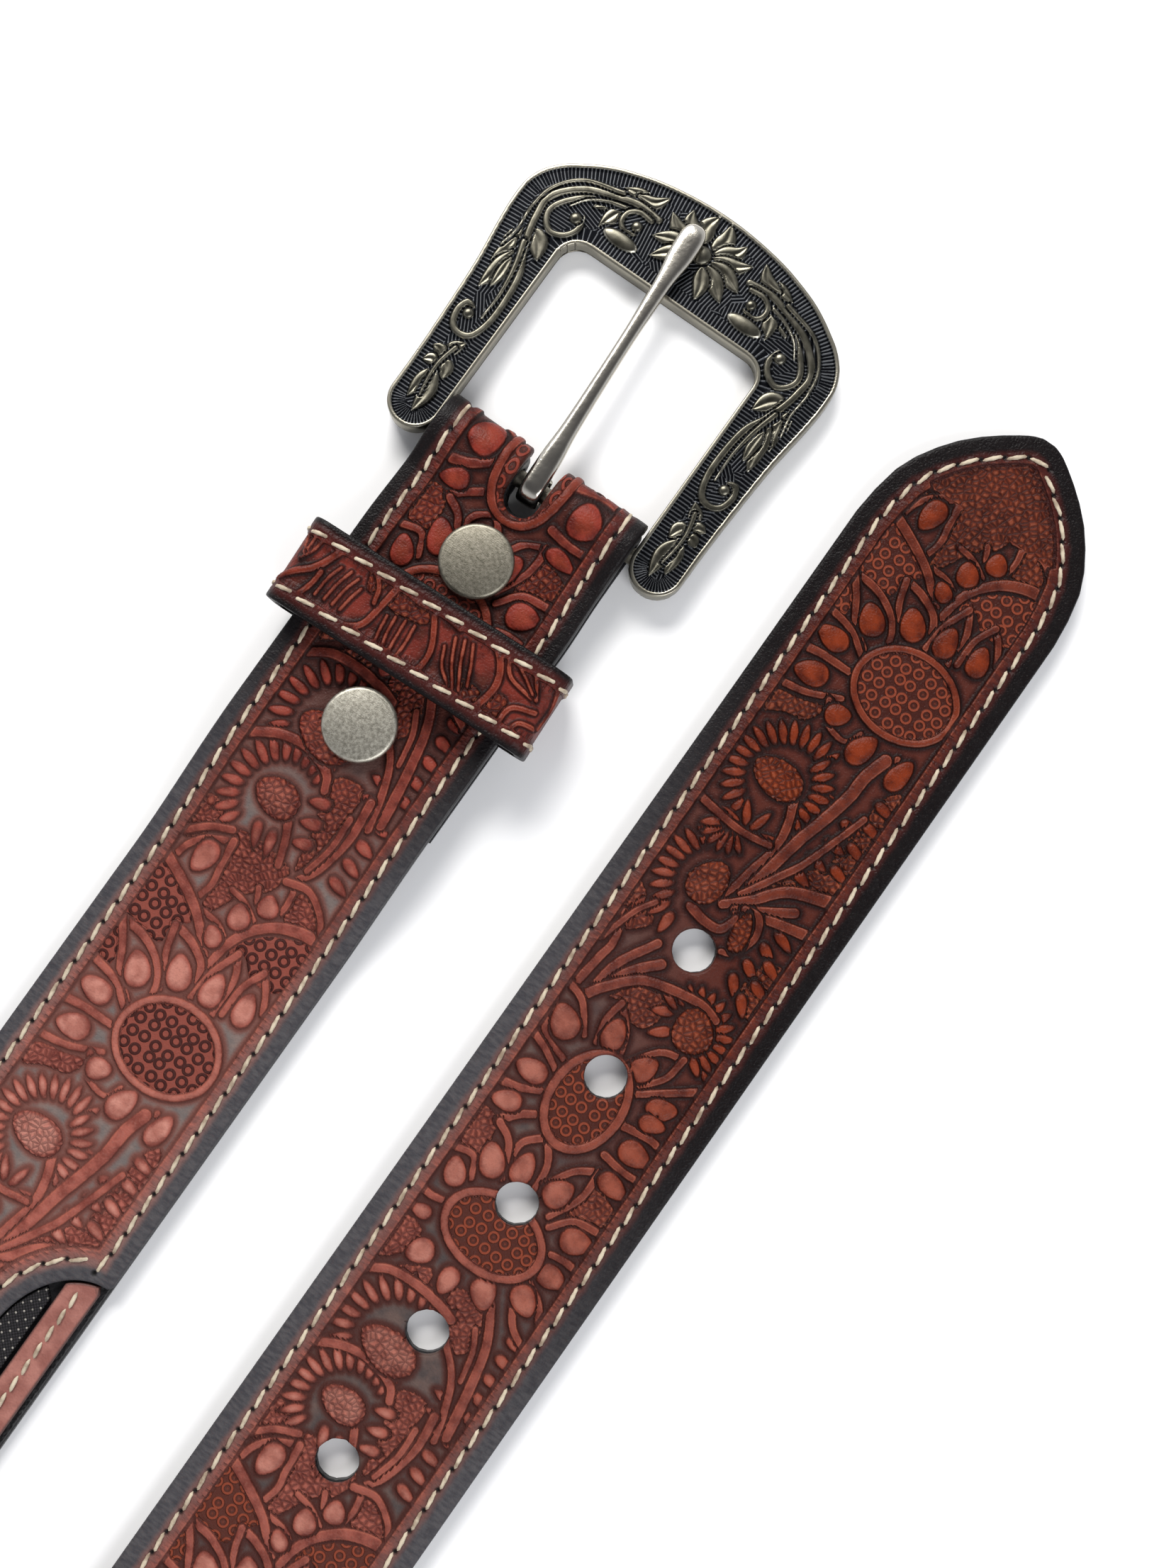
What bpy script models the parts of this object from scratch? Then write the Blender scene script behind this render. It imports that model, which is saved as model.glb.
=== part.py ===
"""A tooled western belt, lying with its buckle end and its tip end side by side.

Leather pieces are cut flat, in millimetres, with X along the strap, Y across it and Z
through it, and are then laid along the belt's route: down the buckle run, a quarter
twist onto the strap's edge, round the far loop, and back flat along the tip run.
The finished objects are in metres, +Y towards the two ends, standing on Z = 0.
"""

import math

import bmesh
import bpy
from mathutils import Matrix, Vector

MM = 0.001

# Layers of leather
STRAP_WIDTH = 40.0
NECK_WIDTH = 39.3
BASE_THICKNESS = 2.0
OVERLAY_THICKNESS = 1.6
INLAY_THICKNESS = 1.0
STRIP_THICKNESS = 1.3
STRIP_WIDTH = 5.8
STRIP_INSET = 1.0
LAYER_GAP = 0.3

# How the belt lies
RUN_SPACING = 66.3
TIP_BEYOND_FOLD = 50.4
FLAT_BELOW_FOLD = 200.0
TWIST_LENGTH = 150.0
TWIST_EASE = 0.2  # share of a twist at each end over which its turn builds up
OUTWARD_RADIUS = 60.0
OUTWARD_ANGLE = 35.0
BAR_DROP_LENGTH = 9.0
FLAP_DROP_LENGTH = 30.0
FLAP_DROP_LEAD = 3.0

# Tip and holes
TIP_POINT_LENGTH = 28.0
HOLE_COUNT = 5
HOLE_DIAMETER = 7.3
HOLE_PITCH = 25.4
FIRST_HOLE = 104.0

# Ends of the tooled leather
BUCKLE_SHOULDER = 154.5
TIP_SHOULDER = 262.0
SCALLOP_LENGTH = 16.5
LOBE_WIDTH = 14.8
LOBE_LENGTH = 27.0

# Fold, flap and slot
FLAP_LENGTH = 65.7
FOLD_CLEARANCE = 0.35
FOLD_COVER_ANGLE = 85.0  # how far round the bar the tooled leather follows the fold
NECK_LENGTH = 8.0
NECK_EASE = 12.0
SLOT_WIDTH = 6.5
SLOT_BELOW_FOLD = 11.4

# Keeper loop
KEEPER_BELOW_FOLD = 37.8
KEEPER_WIDTH = 15.5
KEEPER_SPAN = 50.0
KEEPER_THICKNESS = 1.8
KEEPER_FOOT = 1.4
KEEPER_ROOM = 4.6
KEEPER_SKEW = 2.5
KEEPER_CORNER = 3.2

# Snaps
SNAPS_BELOW_FOLD = (22.0, 55.0)
CAP_DIAMETER = 12.7
CAP_THICKNESS = 1.7
CAP_EDGE = 0.3
CAP_SLOPE_WIDTH = 0.9
CAP_SLOPE_DROP = 0.25
CAP_EDGE_DROP = 0.8
NECK_DIAMETER = 4.0
SOCKET_DIAMETER = 9.0
SOCKET_HEIGHT = 1.2
STUD_DIAMETER = 3.2
STUD_FLANGE = 12.0
STUD_FLANGE_THICKNESS = 0.6

# Buckle
BAR_DIAMETER = 3.0
BAR_SEAT = 0.6
OPENING_WIDTH = 40.0
OPENING_REACH = 33.3
OPENING_CORNER = 4.0
FRAME_REACH = 51.3
FRAME_WIDTH = 64.0
ARM_END_REACH = 10.0
ARM_WIDTH = 9.6
FRAME_THICKNESS = 3.2
RIM_WIDTH = 0.7
GROUND_DEPTH = 0.5
RELIEF_PROUD = 0.15
RELIEF_ROOT = 0.6  # how far the bosses reach below the ground
STEM_WIDTH = 1.5
EDGE_ROUNDING = 0.3

# Tongue
TONGUE_LENGTH = 46.8
CURL_WIDTH = 4.0
CURL_THICKNESS = 1.5
SHAFT_WIDTH = 2.8
SHAFT_THICKNESS = 1.9
TONGUE_TIP_WIDTH = 4.5
TONGUE_LEAN = 3.2
TONGUE_REST_SHARE = 0.79  # share of its length at which it meets the frame
CURL_OPEN_ANGLE = -20.0
CURL_WRAP_ANGLE = 250.0
CORNER_FULLNESS = 0.62

# How finely curves are divided
FLAP_STEP = 12.0
FOLD_STEPS = 12
BAR_DROP_STEP = 2.0
FLAP_DROP_STEP = 3.5
TWIST_STEP = 5.4
LOOP_STEP = 10.0
FLAT_STEP = 55.0
CLOSEST = 0.25
SCALLOP_STEPS = 7
SCALLOP_CROWDING = 1.6
STRAP_COLUMNS = 3
INLAY_COLUMNS = 2
KEEPER_CORNER_STEPS = 4
ARM_END_STEPS = 8
OPENING_CORNER_STEPS = 4
HOLE_SIDES = 16
SLOT_SIDES = 20
CAP_SIDES = 18
BAR_SIDES = 16
CURL_STEPS = 11
TONGUE_SIDES = 10
LEAF_SIDES = 6
BEAD_SIDES = 10
FLOWER_SIDES = 12
CUTTER_MARGIN = 2.0

# Worked out from the sizes above
HALF = STRAP_WIDTH / 2
BAR_RADIUS = BAR_DIAMETER / 2
FOLD_INNER = BAR_RADIUS + FOLD_CLEARANCE
OVERLAY_LEVEL = BASE_THICKNESS + LAYER_GAP
STRAP_THICKNESS = OVERLAY_LEVEL + OVERLAY_THICKNESS
FOLD_OUTER = FOLD_INNER + STRAP_THICKNESS
FOLD_ARC = math.pi * (FOLD_INNER + BASE_THICKNESS / 2)
BAR_Y = -FOLD_OUTER
BAR_Z = BASE_THICKNESS + FOLD_INNER
UPPER_LEVEL = BASE_THICKNESS + KEEPER_FOOT + 2 * LAYER_GAP
SNAP_FACE = UPPER_LEVEL + STRAP_THICKNESS
LOOP_RADIUS = (
    RUN_SPACING / 2 + OUTWARD_RADIUS * (1 - math.cos(math.radians(OUTWARD_ANGLE)))
) / math.cos(math.radians(OUTWARD_ANGLE))
BUCKLE_RUN = FLAT_BELOW_FOLD - FOLD_OUTER
TIP_RUN = FLAT_BELOW_FOLD + TIP_BEYOND_FOLD
OUTWARD_ARC = OUTWARD_RADIUS * math.radians(OUTWARD_ANGLE)
LOOP_ARC = LOOP_RADIUS * math.radians(180 + 2 * OUTWARD_ANGLE)
BELT_END = BUCKLE_RUN + 2 * TWIST_LENGTH + 2 * OUTWARD_ARC + LOOP_ARC + TIP_RUN
FLAP_END = -FOLD_ARC - (FLAP_LENGTH - FOLD_OUTER)

belt = bpy.data.collections.new("western_belt")
cutters = bpy.data.collections.new("cutters")


def clear_scene():
    for obj in list(bpy.data.objects):
        bpy.data.objects.remove(obj, do_unlink=True)
    bpy.context.scene.collection.children.link(belt)
    bpy.context.scene.collection.children.link(cutters)


def make_material(name, colour, roughness, metallic=0.0):
    material = bpy.data.materials.new(name)
    material.use_nodes = True
    shader = material.node_tree.nodes["Principled BSDF"]
    shader.inputs["Base Color"].default_value = (*colour, 1.0)
    shader.inputs["Roughness"].default_value = roughness
    shader.inputs["Metallic"].default_value = metallic
    return material


def add_object(name, bm, material=None, collection=belt):
    """An object from a bmesh in millimetres."""
    bmesh.ops.scale(bm, vec=(MM, MM, MM), verts=bm.verts)
    mesh = bpy.data.meshes.new(name)
    bm.to_mesh(mesh)
    bm.free()
    obj = bpy.data.objects.new(name, mesh)
    collection.objects.link(obj)
    if material:
        mesh.materials.append(material)
    if collection is cutters:
        obj.hide_render = True
        obj.display_type = "WIRE"
    return obj


def evaluated_bmesh(obj):
    """A bmesh in millimetres of the object as its modifiers leave it."""
    graph = bpy.context.evaluated_depsgraph_get()
    mesh = bpy.data.meshes.new_from_object(obj.evaluated_get(graph))
    bm = bmesh.new()
    bm.from_mesh(mesh)
    bpy.data.meshes.remove(mesh)
    bm.transform(Matrix.Scale(1 / MM, 4) @ obj.matrix_world)
    bmesh.ops.remove_doubles(bm, verts=bm.verts, dist=0.0005)
    return bm


def cut(obj, cutter, operation="DIFFERENCE"):
    modifier = obj.modifiers.new(cutter.name, "BOOLEAN")
    modifier.operation = operation
    modifier.object = cutter


def smoothstep(t):
    t = min(max(t, 0.0), 1.0)
    return t * t * (3 - 2 * t)


def interpolate(rows, x):
    """The value at x of rows of (x, value), straight between them."""
    for (x0, y0), (x1, y1) in zip(rows, rows[1:]):
        if x <= x1:
            return y0 + (y1 - y0) * max(0.0, (x - x0) / (x1 - x0))
    return rows[-1][1]


# The route. A place along it, s, is 0 above the buckle bar, negative round the fold and
# along the flap, and BELT_END at the tip.

ROUTE = (
    (BUCKLE_RUN + TWIST_LENGTH, 0.0),
    (OUTWARD_ARC, -1 / OUTWARD_RADIUS),
    (LOOP_ARC, 1 / LOOP_RADIUS),
    (OUTWARD_ARC, -1 / OUTWARD_RADIUS),
    (TWIST_LENGTH + TIP_RUN, 0.0),
)


def plan(s):
    """(x, y, heading) on the floor plan, walking from above the bar to the tip."""
    x, y, heading = -RUN_SPACING / 2, BAR_Y, -math.pi / 2
    for length, curvature in ROUTE:
        step = min(s, length)
        if curvature:
            turned = heading + curvature * step
            x += (math.sin(turned) - math.sin(heading)) / curvature
            y -= (math.cos(turned) - math.cos(heading)) / curvature
            heading = turned
        else:
            x += step * math.cos(heading)
            y += step * math.sin(heading)
        s -= step
    return x, y, heading


def roll(s):
    """How far the strap is turned from flat, face up, to standing on its edge."""
    going = (s - BUCKLE_RUN) / TWIST_LENGTH
    coming = (BELT_END - TIP_RUN - s) / TWIST_LENGTH
    share = min(max(min(going, coming), 0.0), 1.0)
    if share < TWIST_EASE:
        eased = share * share / (2 * TWIST_EASE)
    elif share > 1 - TWIST_EASE:
        eased = 1 - TWIST_EASE - (1 - share) * (1 - share) / (2 * TWIST_EASE)
    else:
        eased = share - TWIST_EASE / 2
    return math.pi / 2 * eased / (1 - TWIST_EASE)


def below_fold(distance):
    """The place on the upper strap at a distance from the fold's front."""
    return distance - FOLD_OUTER


def on_flap(distance):
    """The place on the return flap under below_fold of the same distance."""
    return -FOLD_ARC - below_fold(distance)


def lift(s):
    """Height of the upper strap's underside over the bar, the flap and its end."""
    over_bar = BAR_Z + FOLD_INNER
    first_drop = (over_bar - UPPER_LEVEL) * smoothstep((s - LAYER_GAP) / BAR_DROP_LENGTH)
    past_flap = s - below_fold(FLAP_LENGTH) + FLAP_DROP_LEAD
    return over_bar - first_drop - UPPER_LEVEL * smoothstep(past_flap / FLAP_DROP_LENGTH)


def slope(s):
    """The rise of the strap's underside per length."""
    return (lift(s + CLOSEST) - lift(s - CLOSEST)) / (2 * CLOSEST)


def lay(s, q, n):
    """The world place of a point s along, q across and n out from the flesh side."""
    if s < -FOLD_ARC:
        return Vector((-RUN_SPACING / 2 + q, BAR_Y + s + FOLD_ARC, BASE_THICKNESS - n))
    if s < 0:
        # From straight up over the bar, past its front, to straight down
        turned = -math.pi * s / FOLD_ARC
        y = BAR_Y + (FOLD_INNER + n) * math.sin(turned)
        z = BAR_Z + (FOLD_INNER + n) * math.cos(turned)
        return Vector((-RUN_SPACING / 2 + q, y, z))
    x, y, heading = plan(s)
    turned = roll(s)
    along = Vector((math.cos(heading), math.sin(heading), 0))
    up = Vector((0, 0, 1))
    outward = along.cross(up)
    face = up * math.cos(turned) + outward * math.sin(turned)
    if turned == 0:
        face = (face - along * slope(s)).normalized()
    across = up * math.sin(turned) - outward * math.cos(turned)
    centre = Vector((x, y, lift(s) + HALF * math.sin(turned)))
    return centre + across * q + face * n


def merge(*lists):
    """All places in order, without those that nearly repeat the one before."""
    kept = []
    for s in sorted(place for places in lists for place in places):
        if not kept or s - kept[-1] > CLOSEST:
            kept.append(s)
    return kept


def stations(start, end):
    """Places along the strap for its cross-sections, close where it bends or twists."""
    bar_drop_end = NECK_LENGTH + NECK_EASE
    flap_drop = below_fold(FLAP_LENGTH) - FLAP_DROP_LEAD
    flap_drop_end = flap_drop + FLAP_DROP_LENGTH
    first_twist_end = BUCKLE_RUN + TWIST_LENGTH
    second_twist = BELT_END - TIP_RUN - TWIST_LENGTH
    spans = (
        # from, to, longest step
        (FLAP_END, -FOLD_ARC, FLAP_STEP),
        (-FOLD_ARC, 0.0, FOLD_ARC / FOLD_STEPS),
        (0.0, bar_drop_end, BAR_DROP_STEP),
        (bar_drop_end, flap_drop, FLAP_STEP),
        (flap_drop, flap_drop_end, FLAP_DROP_STEP),
        (flap_drop_end, BUCKLE_RUN, FLAT_STEP),
        (BUCKLE_RUN, first_twist_end, TWIST_STEP),
        (first_twist_end, second_twist, LOOP_STEP),
        (second_twist, BELT_END - TIP_RUN, TWIST_STEP),
        (BELT_END - TIP_RUN, BELT_END, FLAT_STEP),
    )
    places = []
    for low, high, step in spans:
        count = max(1, math.ceil((high - low) / step))
        for i in range(count + 1):
            s = low + (high - low) * i / count
            if start + CLOSEST < s < end - CLOSEST:
                places.append(s)
    return merge([start], places, [end])


# Outlines of the leather, as half-widths. Lengths in the tables are shares.

TIP_OUTLINE = (
    # share of the point's length, share of half the strap
    (0.0, 0.06),
    (0.011, 0.11),
    (0.029, 0.165),
    (0.068, 0.25),
    (0.129, 0.37),
    (0.205, 0.5),
    (0.3, 0.635),
    (0.407, 0.75),
    (0.529, 0.855),
    (0.657, 0.93),
    (0.829, 0.977),
    (1.0, 1.0),
)
LOBE_OUTLINE = (
    # share of the lobe's length past the scallop, share of half the lobe
    (0.0, 1.0),
    (0.25, 1.03),
    (0.5, 1.12),
    (0.68, 1.08),
    (0.82, 0.82),
    (0.92, 0.5),
    (0.98, 0.2),
    (1.0, 0.06),
)


def strap_half(s):
    """Half the strap's width: narrower at the buckle, drawn in to the tip's point."""
    from_tip = BELT_END - s
    if from_tip < TIP_POINT_LENGTH:
        return HALF * interpolate(TIP_OUTLINE, from_tip / TIP_POINT_LENGTH)
    neck = NECK_WIDTH / 2
    past_fold = max(s, -s - FOLD_ARC)
    return neck + (HALF - neck) * smoothstep((past_fold - NECK_LENGTH) / NECK_EASE)


def shoulder_half(past):
    """Half-width of a tooled end at a distance past its shoulder."""
    lobe = LOBE_WIDTH / 2
    if past <= 0:
        return HALF
    if past <= SCALLOP_LENGTH:
        t = 1 - past / SCALLOP_LENGTH
        return lobe + (HALF - lobe) * (1 - math.sqrt(1 - t * t))
    share = (past - SCALLOP_LENGTH) / LOBE_LENGTH
    return lobe * interpolate(LOBE_OUTLINE, share)


def shoulder_places(sign, at):
    """Extra cross-sections where a shoulder's outline turns."""
    shares = [i / SCALLOP_STEPS for i in range(1, SCALLOP_STEPS + 1)]
    scallop = [SCALLOP_LENGTH * share**SCALLOP_CROWDING for share in shares]
    lobe = [SCALLOP_LENGTH + LOBE_LENGTH * share for share, _ in LOBE_OUTLINE[1:]]
    return [at + sign * past for past in [0.01] + scallop + lobe]


def plate(places, half_width, low, high, columns, side=None):
    """A flat plate with a cross-section at each place; side keeps it to one strip."""
    bm = bmesh.new()
    bmesh.ops.create_grid(bm, x_segments=len(places) - 1, y_segments=columns, size=1)
    rows = len(places) - 1
    for vert in bm.verts:
        i = round((vert.co.x + 1) / 2 * rows)
        share = vert.co.y
        s = places[i]
        if side is None:
            q = share * half_width(s)
        else:
            inner, outer = half_width(s)
            q = side * (inner + (outer - inner) * (share + 1) / 2)
        vert.co = (s, q, low)
    bmesh.ops.recalc_face_normals(bm, faces=bm.faces)
    for face in bm.faces:
        if face.normal.z > 0:
            face.normal_flip()
    extruded = bmesh.ops.extrude_face_region(bm, geom=bm.faces[:])
    top = [g for g in extruded["geom"] if isinstance(g, bmesh.types.BMVert)]
    bmesh.ops.translate(bm, vec=(0, 0, high - low), verts=top)
    bmesh.ops.recalc_face_normals(bm, faces=bm.faces)
    return bm


def post(name, diameter, sides, *places):
    """A round cutter through the flat leather at one place, or a slot's between two."""
    bm = bmesh.new()
    for place in places:
        bmesh.ops.create_cone(
            bm,
            cap_ends=True,
            segments=sides,
            radius1=diameter / 2,
            radius2=diameter / 2,
            depth=STRAP_THICKNESS + 2 * CUTTER_MARGIN,
            matrix=Matrix.Translation((place, 0, STRAP_THICKNESS / 2)),
        )
    if len(places) > 1:
        hull = bmesh.ops.convex_hull(bm, input=bm.verts[:])
        inside = [g for g in hull["geom_interior"] if isinstance(g, bmesh.types.BMVert)]
        bmesh.ops.delete(bm, geom=inside, context="VERTS")
        loose = [f for f in hull["geom_unused"] if isinstance(f, bmesh.types.BMFace)]
        bmesh.ops.delete(bm, geom=[f for f in loose if f.is_valid], context="FACES")
        bmesh.ops.dissolve_limit(bm, angle_limit=0.01, verts=bm.verts, edges=bm.edges)
    bmesh.ops.recalc_face_normals(bm, faces=bm.faces)
    return add_object(name, bm, collection=cutters)


def lay_along_route(flat, name, material):
    """Replaces a flat piece with the same piece laid along the belt's route."""
    bm = evaluated_bmesh(flat)
    bpy.data.objects.remove(flat)
    # Every quad is split the same way, so that stacked layers twist alike
    for face in [face for face in bm.faces if len(face.verts) == 4]:
        corners = list(face.verts)
        first = min(range(4), key=lambda k: sum(corners[k].co))
        bmesh.utils.face_split(face, corners[first], corners[(first + 2) % 4])
    bmesh.ops.triangulate(bm, faces=[face for face in bm.faces if len(face.verts) > 3])
    for vert in bm.verts:
        vert.co = lay(*vert.co)
    return add_object(name, bm, material)


# Leather pieces


def tip_places(end):
    return [end - TIP_POINT_LENGTH * share for share, _ in TIP_OUTLINE]


def punch_holes(*pieces):
    for i in range(HOLE_COUNT):
        s = BELT_END - FIRST_HOLE - i * HOLE_PITCH
        cutter = post(f"hole_cutter_{i + 1}", HOLE_DIAMETER, HOLE_SIDES, s)
        for piece in pieces:
            cut(piece, cutter)


def punch_slot(*pieces):
    ahead = below_fold(SLOT_BELOW_FOLD) - SLOT_WIDTH / 2
    behind = -FOLD_ARC - ahead
    cutter = post("slot_cutter", SLOT_WIDTH, SLOT_SIDES, behind, ahead)
    for piece in pieces:
        cut(piece, cutter)


def stepped_post(name, s, steps, sides):
    """A turned cutter of (diameter, level) steps, from the lowest up."""
    bm = bmesh.new()
    rings = []
    for diameter, level in steps:
        ring = bmesh.ops.create_circle(
            bm, segments=sides, radius=diameter / 2, matrix=Matrix.Translation((s, 0, level))
        )
        rings.append(ring["verts"])
    for low, high in zip(rings, rings[1:]):
        for k in range(sides):
            j = (k + 1) % sides
            bm.faces.new((low[k], low[j], high[j], high[k]))
    bm.faces.new(rings[0])
    bm.faces.new(rings[-1])
    bmesh.ops.recalc_face_normals(bm, faces=bm.faces)
    return add_object(name, bm, collection=cutters)


def punch_snaps(*upper, flap):
    through = NECK_DIAMETER + 2 * LAYER_GAP
    stud = STUD_DIAMETER + 2 * LAYER_GAP
    flange = STUD_FLANGE + 2 * LAYER_GAP
    ledge = BASE_THICKNESS - STUD_FLANGE_THICKNESS - LAYER_GAP
    steps = (
        (stud, -CUTTER_MARGIN),
        (stud, ledge),
        (flange, ledge),
        (flange, BASE_THICKNESS + CUTTER_MARGIN),
    )
    for i, distance in enumerate(SNAPS_BELOW_FOLD):
        cutter = post(f"neck_cutter_{i + 1}", through, HOLE_SIDES, below_fold(distance))
        for piece in upper:
            cut(piece, cutter)
        cut(flap, stepped_post(f"stud_cutter_{i + 1}", on_flap(distance), steps, HOLE_SIDES))


def tooled_end_cutter(name, shoulder, sign):
    """The outline of a tooled end, grown by the gap its neighbours keep to it."""
    places = [shoulder - sign * HALF]
    for s in shoulder_places(sign, shoulder):
        places.append(s + sign * LAYER_GAP)

    def half_width(s):
        past = sign * (s - shoulder) - LAYER_GAP
        half = HALF + CUTTER_MARGIN if past < 0 else shoulder_half(past)
        return half + LAYER_GAP

    top = STRAP_THICKNESS + CUTTER_MARGIN
    bm = plate(sorted(places), half_width, BASE_THICKNESS / 2, top, 1)
    return add_object(name, bm, collection=cutters)


def build_leather(black, tooled, rose, mesh_black):
    base = add_object(
        "flat_base",
        plate(
            merge(stations(FLAP_END, BELT_END), tip_places(BELT_END)),
            strap_half,
            0,
            BASE_THICKNESS,
            STRAP_COLUMNS,
        ),
    )
    buckle_shoulder = below_fold(BUCKLE_SHOULDER)
    tip_shoulder = BELT_END - TIP_SHOULDER

    def buckle_half(s):
        return min(strap_half(s), shoulder_half(s - buckle_shoulder))

    def tip_half(s):
        return min(strap_half(s), shoulder_half(tip_shoulder - s))

    fold_front = -FOLD_ARC * FOLD_COVER_ANGLE / 180
    buckle_overlay = add_object(
        "flat_buckle_overlay",
        plate(
            merge(
                stations(fold_front, buckle_shoulder),
                shoulder_places(1, buckle_shoulder),
            ),
            buckle_half,
            OVERLAY_LEVEL,
            STRAP_THICKNESS,
            STRAP_COLUMNS,
        ),
    )
    tip_overlay = add_object(
        "flat_tip_overlay",
        plate(
            merge(
                shoulder_places(-1, tip_shoulder),
                stations(tip_shoulder, BELT_END),
                tip_places(BELT_END),
            ),
            tip_half,
            OVERLAY_LEVEL,
            STRAP_THICKNESS,
            STRAP_COLUMNS,
        ),
    )
    punch_holes(base, tip_overlay)
    punch_slot(base, buckle_overlay)
    punch_snaps(base, buckle_overlay, flap=base)

    buckle_end = tooled_end_cutter("buckle_end_cutter", buckle_shoulder, 1)
    tip_end = tooled_end_cutter("tip_end_cutter", tip_shoulder, -1)
    middle = stations(buckle_shoulder - CUTTER_MARGIN, tip_shoulder + CUTTER_MARGIN)
    outer = HALF - STRIP_INSET
    inner = outer - STRIP_WIDTH
    inlay = add_object(
        "flat_inlay",
        plate(
            middle,
            lambda s: inner - LAYER_GAP,
            OVERLAY_LEVEL,
            OVERLAY_LEVEL + INLAY_THICKNESS,
            INLAY_COLUMNS,
        ),
    )
    cut(inlay, buckle_end)
    cut(inlay, tip_end)
    lay_along_route(inlay, "mesh_inlay", mesh_black)
    for name, side in (("edge_strip_left", -1), ("edge_strip_right", 1)):
        strip = add_object(
            "flat_" + name,
            plate(
                middle,
                lambda s: (inner, outer),
                OVERLAY_LEVEL,
                OVERLAY_LEVEL + STRIP_THICKNESS,
                1,
                side,
            ),
        )
        cut(strip, buckle_end)
        cut(strip, tip_end)
        lay_along_route(strip, name, rose)
    lay_along_route(base, "backing_strap", black)
    lay_along_route(buckle_overlay, "tooled_overlay_buckle_end", tooled)
    lay_along_route(tip_overlay, "tooled_overlay_tip_end", tooled)


def rounded_box(half, low, high, corner):
    """Corner-rounded outline in the plane across the strap."""
    points = []
    centres = (
        (half - corner, high - corner, 0),
        (-half + corner, high - corner, 90),
        (-half + corner, low + corner, 180),
        (half - corner, low + corner, 270),
    )
    for x, z, start in centres:
        for i in range(KEEPER_CORNER_STEPS + 1):
            angle = math.radians(start + 90 * i / KEEPER_CORNER_STEPS)
            points.append((x + corner * math.cos(angle), z + corner * math.sin(angle)))
    return points


def outline_solid(name, outlines, depth):
    """A mesh object of flat outlines in the curve's XY, extruded both ways in Z."""
    curve = bpy.data.curves.new(name, "CURVE")
    curve.dimensions = "2D"
    curve.fill_mode = "BOTH"
    curve.extrude = depth / 2 * MM
    for outline in outlines:
        spline = curve.splines.new("POLY")
        spline.points.add(len(outline) - 1)
        for point, (x, y) in zip(spline.points, outline):
            point.co = (x * MM, y * MM, 0, 1)
        spline.use_cyclic_u = True
    flat = bpy.data.objects.new(name + "_outline", curve)
    belt.objects.link(flat)
    bm = evaluated_bmesh(flat)
    bpy.data.objects.remove(flat)
    bmesh.ops.recalc_face_normals(bm, faces=bm.faces)
    return bm


def build_keeper(tooled):
    low = BASE_THICKNESS + LAYER_GAP
    ceiling = SNAP_FACE + KEEPER_ROOM
    outer = rounded_box(KEEPER_SPAN / 2, low, ceiling + KEEPER_THICKNESS, KEEPER_CORNER)
    inner = rounded_box(
        KEEPER_SPAN / 2 - KEEPER_THICKNESS,
        low + KEEPER_FOOT,
        ceiling,
        KEEPER_CORNER - KEEPER_THICKNESS,
    )
    bm = outline_solid("keeper", [outer, inner], KEEPER_WIDTH)
    keeper = add_object("keeper_loop", bm, tooled)
    stand = Matrix.Rotation(math.radians(90), 4, "X")
    keeper.matrix_world = (
        Matrix.Translation(Vector((-RUN_SPACING / 2, -KEEPER_BELOW_FOLD, 0)) * MM)
        @ Matrix.Rotation(math.radians(KEEPER_SKEW), 4, "Z")
        @ stand
    )


def turned(name, profile, steps, place, material):
    """A turned piece from its (radius, height) profile, top to bottom."""
    mesh = bpy.data.meshes.new(name)
    points = [(radius * MM, 0, z * MM) for radius, z in profile]
    edges = [(i, i + 1) for i in range(len(points) - 1)]
    mesh.from_pydata(points, edges, [])
    mesh.materials.append(material)
    obj = bpy.data.objects.new(name, mesh)
    belt.objects.link(obj)
    obj.location = place
    screw = obj.modifiers.new("turn", "SCREW")
    screw.steps = screw.render_steps = steps
    screw.use_merge_vertices = True
    screw.merge_threshold = 0.00001
    screw.use_smooth_shade = True
    return obj


def build_snaps(nickel):
    cap = CAP_DIAMETER / 2
    neck = NECK_DIAMETER / 2
    socket = SOCKET_DIAMETER / 2
    stud = STUD_DIAMETER / 2
    cap_low = SNAP_FACE + LAYER_GAP
    cap_top = cap_low + CAP_THICKNESS
    socket_top = UPPER_LEVEL - LAYER_GAP
    socket_low = socket_top - SOCKET_HEIGHT
    bore = stud + LAYER_GAP
    bore_top = socket_top - LAYER_GAP
    cap_profile = [
        (0, cap_top),
        (cap - CAP_SLOPE_WIDTH, cap_top),
        (cap - CAP_EDGE, cap_top - CAP_SLOPE_DROP),
        (cap, cap_top - CAP_EDGE_DROP),
        (cap - CAP_EDGE, cap_low),
        (neck, cap_low),
        (neck, socket_top),
        (socket, socket_top),
        (socket, socket_low),
        (bore, socket_low),
        (bore, bore_top),
        (0, bore_top),
    ]
    stud_top = bore_top - LAYER_GAP
    stud_profile = [
        (0, stud_top),
        (stud - CAP_EDGE, stud_top),
        (stud, stud_top - CAP_EDGE),
        (stud, STUD_FLANGE_THICKNESS),
        (STUD_FLANGE / 2, STUD_FLANGE_THICKNESS),
        (STUD_FLANGE / 2, 0),
        (0, 0),
    ]
    for i, distance in enumerate(SNAPS_BELOW_FOLD):
        place = Vector((-RUN_SPACING / 2, -distance, 0)) * MM
        turned(f"snap_cap_{i + 1}", cap_profile, CAP_SIDES, place, nickel)
        turned(f"snap_stud_{i + 1}", stud_profile, HOLE_SIDES, place, nickel)


# The buckle, in its own frame: Y forward from the bar's axis, Z up from the mid-plane.

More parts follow.
